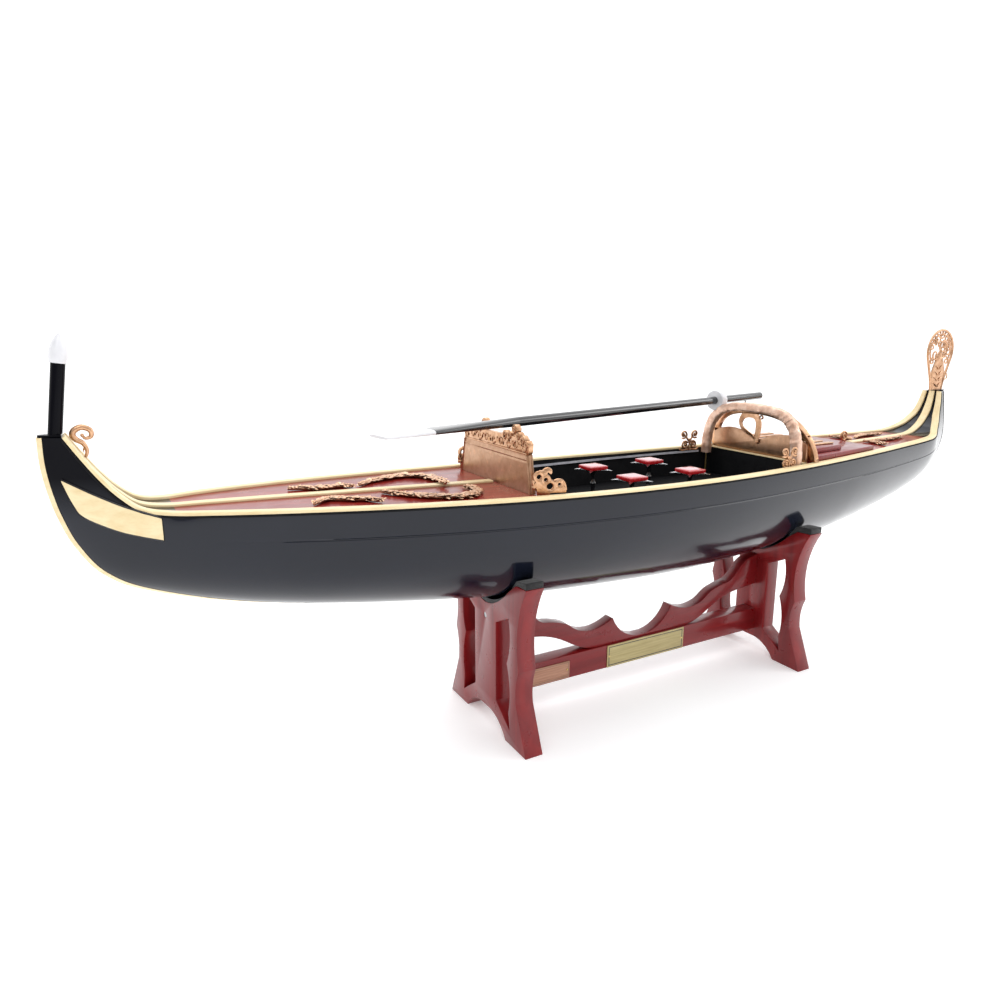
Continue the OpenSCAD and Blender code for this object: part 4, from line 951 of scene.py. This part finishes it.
def fan():
    """The pierced stern ornament: a beaded rim, scrolls inside it and a leafy neck."""
    low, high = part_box("fan")
    cx, top, foot = middle_of(low.x, high.x), high.z / MM, low.z / MM
    r = (high.x - low.x) / 2 / MM
    cz = top - r
    g = Geo()

    def on_rim(a, inset):
        reach, a = r - inset, math.radians(a)
        return (cx + reach * math.cos(a), cz + reach * math.sin(a))

    flank = ((10, 0), (11.6, 9), (15.5, 20))
    rim = [(cx - u, foot + v) for u, v in flank] + [on_rim(a, 1.3) for a in range(200, -21, -10)]
    rim += [(cx + u, foot + v) for u, v in reversed(flank)]
    g.tube([(x, 0, z) for x, z in smooth(rim, 3)], 1.35, 8, 0.95)
    rings = []
    waist = 0.45
    for k in range(26):
        f = k / 25
        z = lerp(foot, cz + 1, f)
        half = (lerp(10.8, 12.6, f / waist) if f < waist
                else lerp(12.6, 1.2, ((f - waist) / 0.55) ** 1.3))
        ring = []
        for c, s in circle(20):
            vein = 0.35 * math.cos(9 * c + 1.6 * math.sin(f * 26)) + 0.25 * math.sin(f * 40 - 5 * abs(c))
            ring.append((cx + half * signed_power(c, 0.8),
                         (1.0 + max(vein, -0.3)) * s * (1 if half > 2 else 0.7), z))
        rings.append(ring)
    g.loft(rings)
    g.tube([(x, 0, z) for x, z in (on_rim(a, 5.6) for a in range(-30, 211, 10))], 0.8, 7)
    for dx, dz, r0, r1, start, turns, wire in FAN_SCROLLS:
        path = spiral((cx + dx, cz + dz), r0, r1, start, turns, 30)
        g.tube(path, lambda f, w=wire: w * (1.15 - 0.35 * f), 8)
        g.ball(path[-1], wire * 1.35, 7)
    for a in range(-10, 200, 14):
        x, z = on_rim(a, 3.6)
        g.ball((x, 0, z), 1.15, 7)
    for side in (-1, 1):
        for k in range(4):
            z = foot + 4 + 6.5 * k
            for face in (-1.3, 1.3):
                g.tube([(cx + side * (1 + 5 * u), face, z + 5.5 * u - 2.5 * u * u)
                        for u in (0, 0.3, 0.6, 0.9, 1.15)], lambda f: 0.9 * (1 - 0.6 * f), 7)
    g.ring((cx + 15.4, 0, foot + 14.6), 3.4, 0.7, 24, 7)
    g.piece("fan_filigree", "rose_gilt", "boat", ("fan",), 50)


# ---------------------------------------------------------------- small fittings

STOOLS = ((-31.2, -27.2), (-31.2, 27.2), (32.7, -27.2), (32.7, 27.2))


def stools():
    """Red seats with a paler panel on top, whose pale colour is painted reflection, pointed silver plates
    and turned black posts.
    """
    for k in range(1, 5):
        node = f"stool_seat_{k}"
        rounded(node, "red_seat", 0.7, segments=3)
        low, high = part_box(node)
        x0, y0, x1, y1, z = low.x / MM, low.y / MM, high.x / MM, high.y / MM, high.z / MM
        # painted reflection: a paler panel on the seat's top
        g = Geo()
        g.loft([[(x0 + inset, y0 + inset, z + lift), (x1 - inset, y0 + inset, z + lift),
                 (x1 - inset, y1 - inset, z + lift), (x0 + inset, y1 - inset, z + lift)]
                for inset, lift in ((2.6, -0.5), (2.6, 0.0), (3.0, 0.16), (3.8, 0.2))])
        g.piece(f"stool_reflection_panel_{k}", "seat_top_reflection", "boat")
    low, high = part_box("stool_stands")
    z, floor = high.z / MM, low.z / MM
    disc, point, thick = 9.0, 17.4, 0.4
    turned = ((0, 5.6), (0.8, 5.6), (1.3, 5.0), (1.7, 3.0), (2.6, 2.2), (6, 1.7), (10, 2.4), (12, 3.1),
              (14, 2.2), (18, 1.7), (21, 2.2), (z - floor - 0.8, 3.4))
    g = Geo()
    posts = Geo()
    n = 48
    for cx, cy in STOOLS:
        for level in (0, thick):
            plate = []
            for i in range(n + 1):
                a = 2 * pi * i / n
                reach = lerp(disc, point, abs(math.cos(2 * (a - pi / 4))) ** 26)
                row = []
                for j in range(6):
                    r = reach * j / 5
                    drop = 0.6 * ease((r - 12.6) / 5)
                    row.append((cx + r * math.cos(a), cy + r * math.sin(a), z - 0.05 - drop - level))
                plate.append(row)
            g.loft(plate, caps=False, closed=False)
        posts.loft([[(cx + r * c, cy + r * s, floor + h) for c, s in circle(24)] for h, r in turned])
    g.piece("stool_plates", "silver", "boat", ("stool_stands",))
    posts.piece("stool_posts_turned", "oar_black", "boat")


def plate_borders():
    """A dark line round each of the two blank plates."""
    for node, inset, width in (("title_plate", 1.5, 0.8), ("maker_plate", 1.1, 0.25)):
        low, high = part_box(node)
        y = low.y / MM
        x0, x1 = low.x / MM + inset, high.x / MM - inset
        z0, z1 = low.z / MM + inset, high.z / MM - inset
        g = Geo()
        for ax, az, bx, bz in ((x0, z0, x1, z0 + width), (x0, z1 - width, x1, z1),
                               (x0, z0, x0 + width, z1), (x1 - width, z0, x1, z1)):
            ring = [(ax, az), (bx, az), (bx, bz), (ax, bz)]
            g.loft([[(p, y + out, q) for p, q in ring] for out in (0.05, -0.06)])
        g.piece(node + "_line", "plate_ink", "stand")


def oar():
    """The oar's blade and its white tip: one flattened form that grows into the round shaft."""
    turn = math.radians(11.13)
    collar = V((131.5, 45, 252.4))
    along_oar = V((math.cos(turn), math.sin(turn), 0))
    across = V((-math.sin(turn), math.cos(turn), 0))
    fore = -391.0                       # the tip's end, measured from the collar
    tip, end = 41.0, 125.0              # where the white ends and where the blade ends
    blade, shaft = 24.0, 7.6            # width of the blade and diameter of the shaft

    def ring(u, shrink=1.0):
        f = clamp(u / end)
        w = lerp(blade, shaft, f ** 1.3) / 2 * shrink
        h = lerp(2, shaft, f ** 0.9) / 2 * (1 if shrink > 0.99 else 0.75 + 0.25 * shrink)
        p = lerp(0.45, 1, f)
        return [collar + along_oar * (fore + u) + across * w * signed_power(c, p)
                + V((0, 0, h * signed_power(s, p))) for c, s in circle(28)]

    g = Geo()
    g.loft([ring(0.02, 0.86), ring(0.5, 0.94), ring(1.4, 0.985)]
           + [ring(lerp(3, tip, k / 6)) for k in range(7)])
    g.piece("oar_tip_shaped", "white_paint", "oar", ("oar_tip",), 45)
    g = Geo()
    g.loft([ring(lerp(tip + 0.05, end, k / 20)) for k in range(21)])
    g.piece("oar_blade_shaped", "oar_black", "oar", ("oar_blade",), 45)


def kept(node, mat):
    """Gives a CAD node that stays as it is its material."""
    for slot in frame["nodes"][node].material_slots:
        slot.material = MATS[mat]


# ---------------------------------------------------------------- the object

hull_skin()
strips()
wings()
garlands()
bow_curl()
seat_back()
seat_crest()
arm_scrolls()
front_hoop()
ribbon()
sea_horses()
deck_ring()
fan()
stools()
oar()
for node, mat, width in (
        ("upright_bow", "cherry_z", 1.2), ("upright_stern", "cherry_z", 1.2),
        ("lower_rail", "cherry_x", 1.1), ("scroll_rail", "cherry_x", 1.1),
        ("stern_platform", "cherry_x", 0.7), ("stern_step", "cherry_x", 0.7),
        ("gilt_slats", "rose_gilt", 0.35), ("rear_hoop", "rose_gilt", 0.9),
        ("rear_board", "panel_gilt", 0.6),
        ("board_sill", "cream_paint", 0.3), ("title_plate", "title_brass", 0.18),
        ("maker_plate", "copper_sheet", 0.18), ("bow_cap", "black_lacquer", 0.25),
        ("stern_cap", "black_lacquer", 0.2)):
    rounded(node, mat, width)
rounded("cradle_felts", "felt", 0.8, segments=3)
plate_borders()
for node, mat in (
        ("plate_pins", "brass"), ("rail_dowels", "raw_wood"), ("rail_screws", "steel"),
        ("keel_backbone", "raw_wood"), ("hull_frames", "raw_wood"), ("cockpit_bulkheads", "black_matt"),
        ("keel_shoe", "black_matt"), ("bow_deck", "deck_wood"), ("stern_deck", "deck_wood"),
        ("cockpit_floor", "black_matt"), ("cockpit_lining", "black_matt"),
        ("cockpit_ledges", "grey_trim"), ("bow_post", "black_lacquer"),
        ("flame_finial", "white_paint"), ("hoop_pins", "brass"), ("oar_collar", "white_paint"),
        ("oar_shaft", "oar_black"), ("oar_peg", "steel")):
    kept(node, mat)


# ---------------------------------------------------------------- studio

def studio():
    """A pale floor, a soft sky that is darker low on the viewer's side, three lamps, a camera."""
    mesh = bpy.data.meshes.new("floor")
    half = 12
    corners = [(-half, -half, 0), (half, -half, 0), (half, half, 0), (-half, half, 0)]
    mesh.from_pydata(corners, [], [(0, 1, 2, 3)])
    floor = bpy.data.objects.new("floor", mesh)
    bpy.context.scene.collection.objects.link(floor)
    s = Shader("floor_paper")
    s.put(color=s.ramp(s.noise(3), (0.3, (0.94, 0.94, 0.94)), (0.7, (0.96, 0.96, 0.96))), rough=0.9)
    s.bsdf.inputs["Emission Color"].default_value = (1, 1, 1, 1)
    s.bsdf.inputs["Emission Strength"].default_value = 0.22
    mesh.materials.append(s.material)

    world = bpy.data.worlds.new("studio")
    bpy.context.scene.world = world
    world.use_nodes = True
    tree = world.node_tree
    tree.nodes.clear()
    out = tree.nodes.new("ShaderNodeOutputWorld")
    sky = tree.nodes.new("ShaderNodeBackground")
    sky.inputs["Color"].default_value = (0.985, 0.99, 1, 1)
    where = tree.nodes.new("ShaderNodeTexCoord")
    facing = tree.nodes.new("ShaderNodeVectorMath")
    facing.operation = "DOT_PRODUCT"
    facing.inputs[1].default_value = (-0.5, -0.86, -0.35)
    level = tree.nodes.new("ShaderNodeMapRange")
    for socket, value in (("From Min", 0.0), ("From Max", 0.75), ("To Min", 1.35), ("To Max", 0.34)):
        level.inputs[socket].default_value = value
    tree.links.new(where.outputs["Generated"], facing.inputs[0])
    tree.links.new(facing.outputs["Value"], level.inputs["Value"])
    tree.links.new(level.outputs[0], sky.inputs["Strength"])
    tree.links.new(sky.outputs[0], out.inputs[0])

    lamps = (("key", (-0.9, -1.3, 1.7), (0, 0, 0.15), 1.1, 9),
             ("side", (1.7, -0.7, 1.1), (0.1, 0, 0.15), 0.9, 5),
             ("top", (0.2, 0.6, 2.2), (0, 0, 0.1), 1.6, 10))
    for name, place, aim, size, power in lamps:
        data = bpy.data.lights.new(name, "AREA")
        data.energy = power
        data.shape = "DISK"
        data.size = size
        lamp = bpy.data.objects.new(name, data)
        lamp.location = place
        lamp.rotation_euler = (V(aim) - V(place)).to_track_quat("-Z", "Y").to_euler()
        bpy.context.scene.collection.objects.link(lamp)

    data = bpy.data.cameras.new("camera")
    data.lens = 26.66
    data.sensor_width = 36
    data.clip_end = 100
    cam = bpy.data.objects.new("camera", data)
    cam.location = (-0.41885, -0.50038, 0.32485)
    cam.rotation_euler = (math.radians(90 - 13.24), 0, math.radians(-29.01))
    bpy.context.scene.collection.objects.link(cam)
    bpy.context.scene.camera = cam
    bpy.context.scene.view_settings.view_transform = "Standard"


studio()
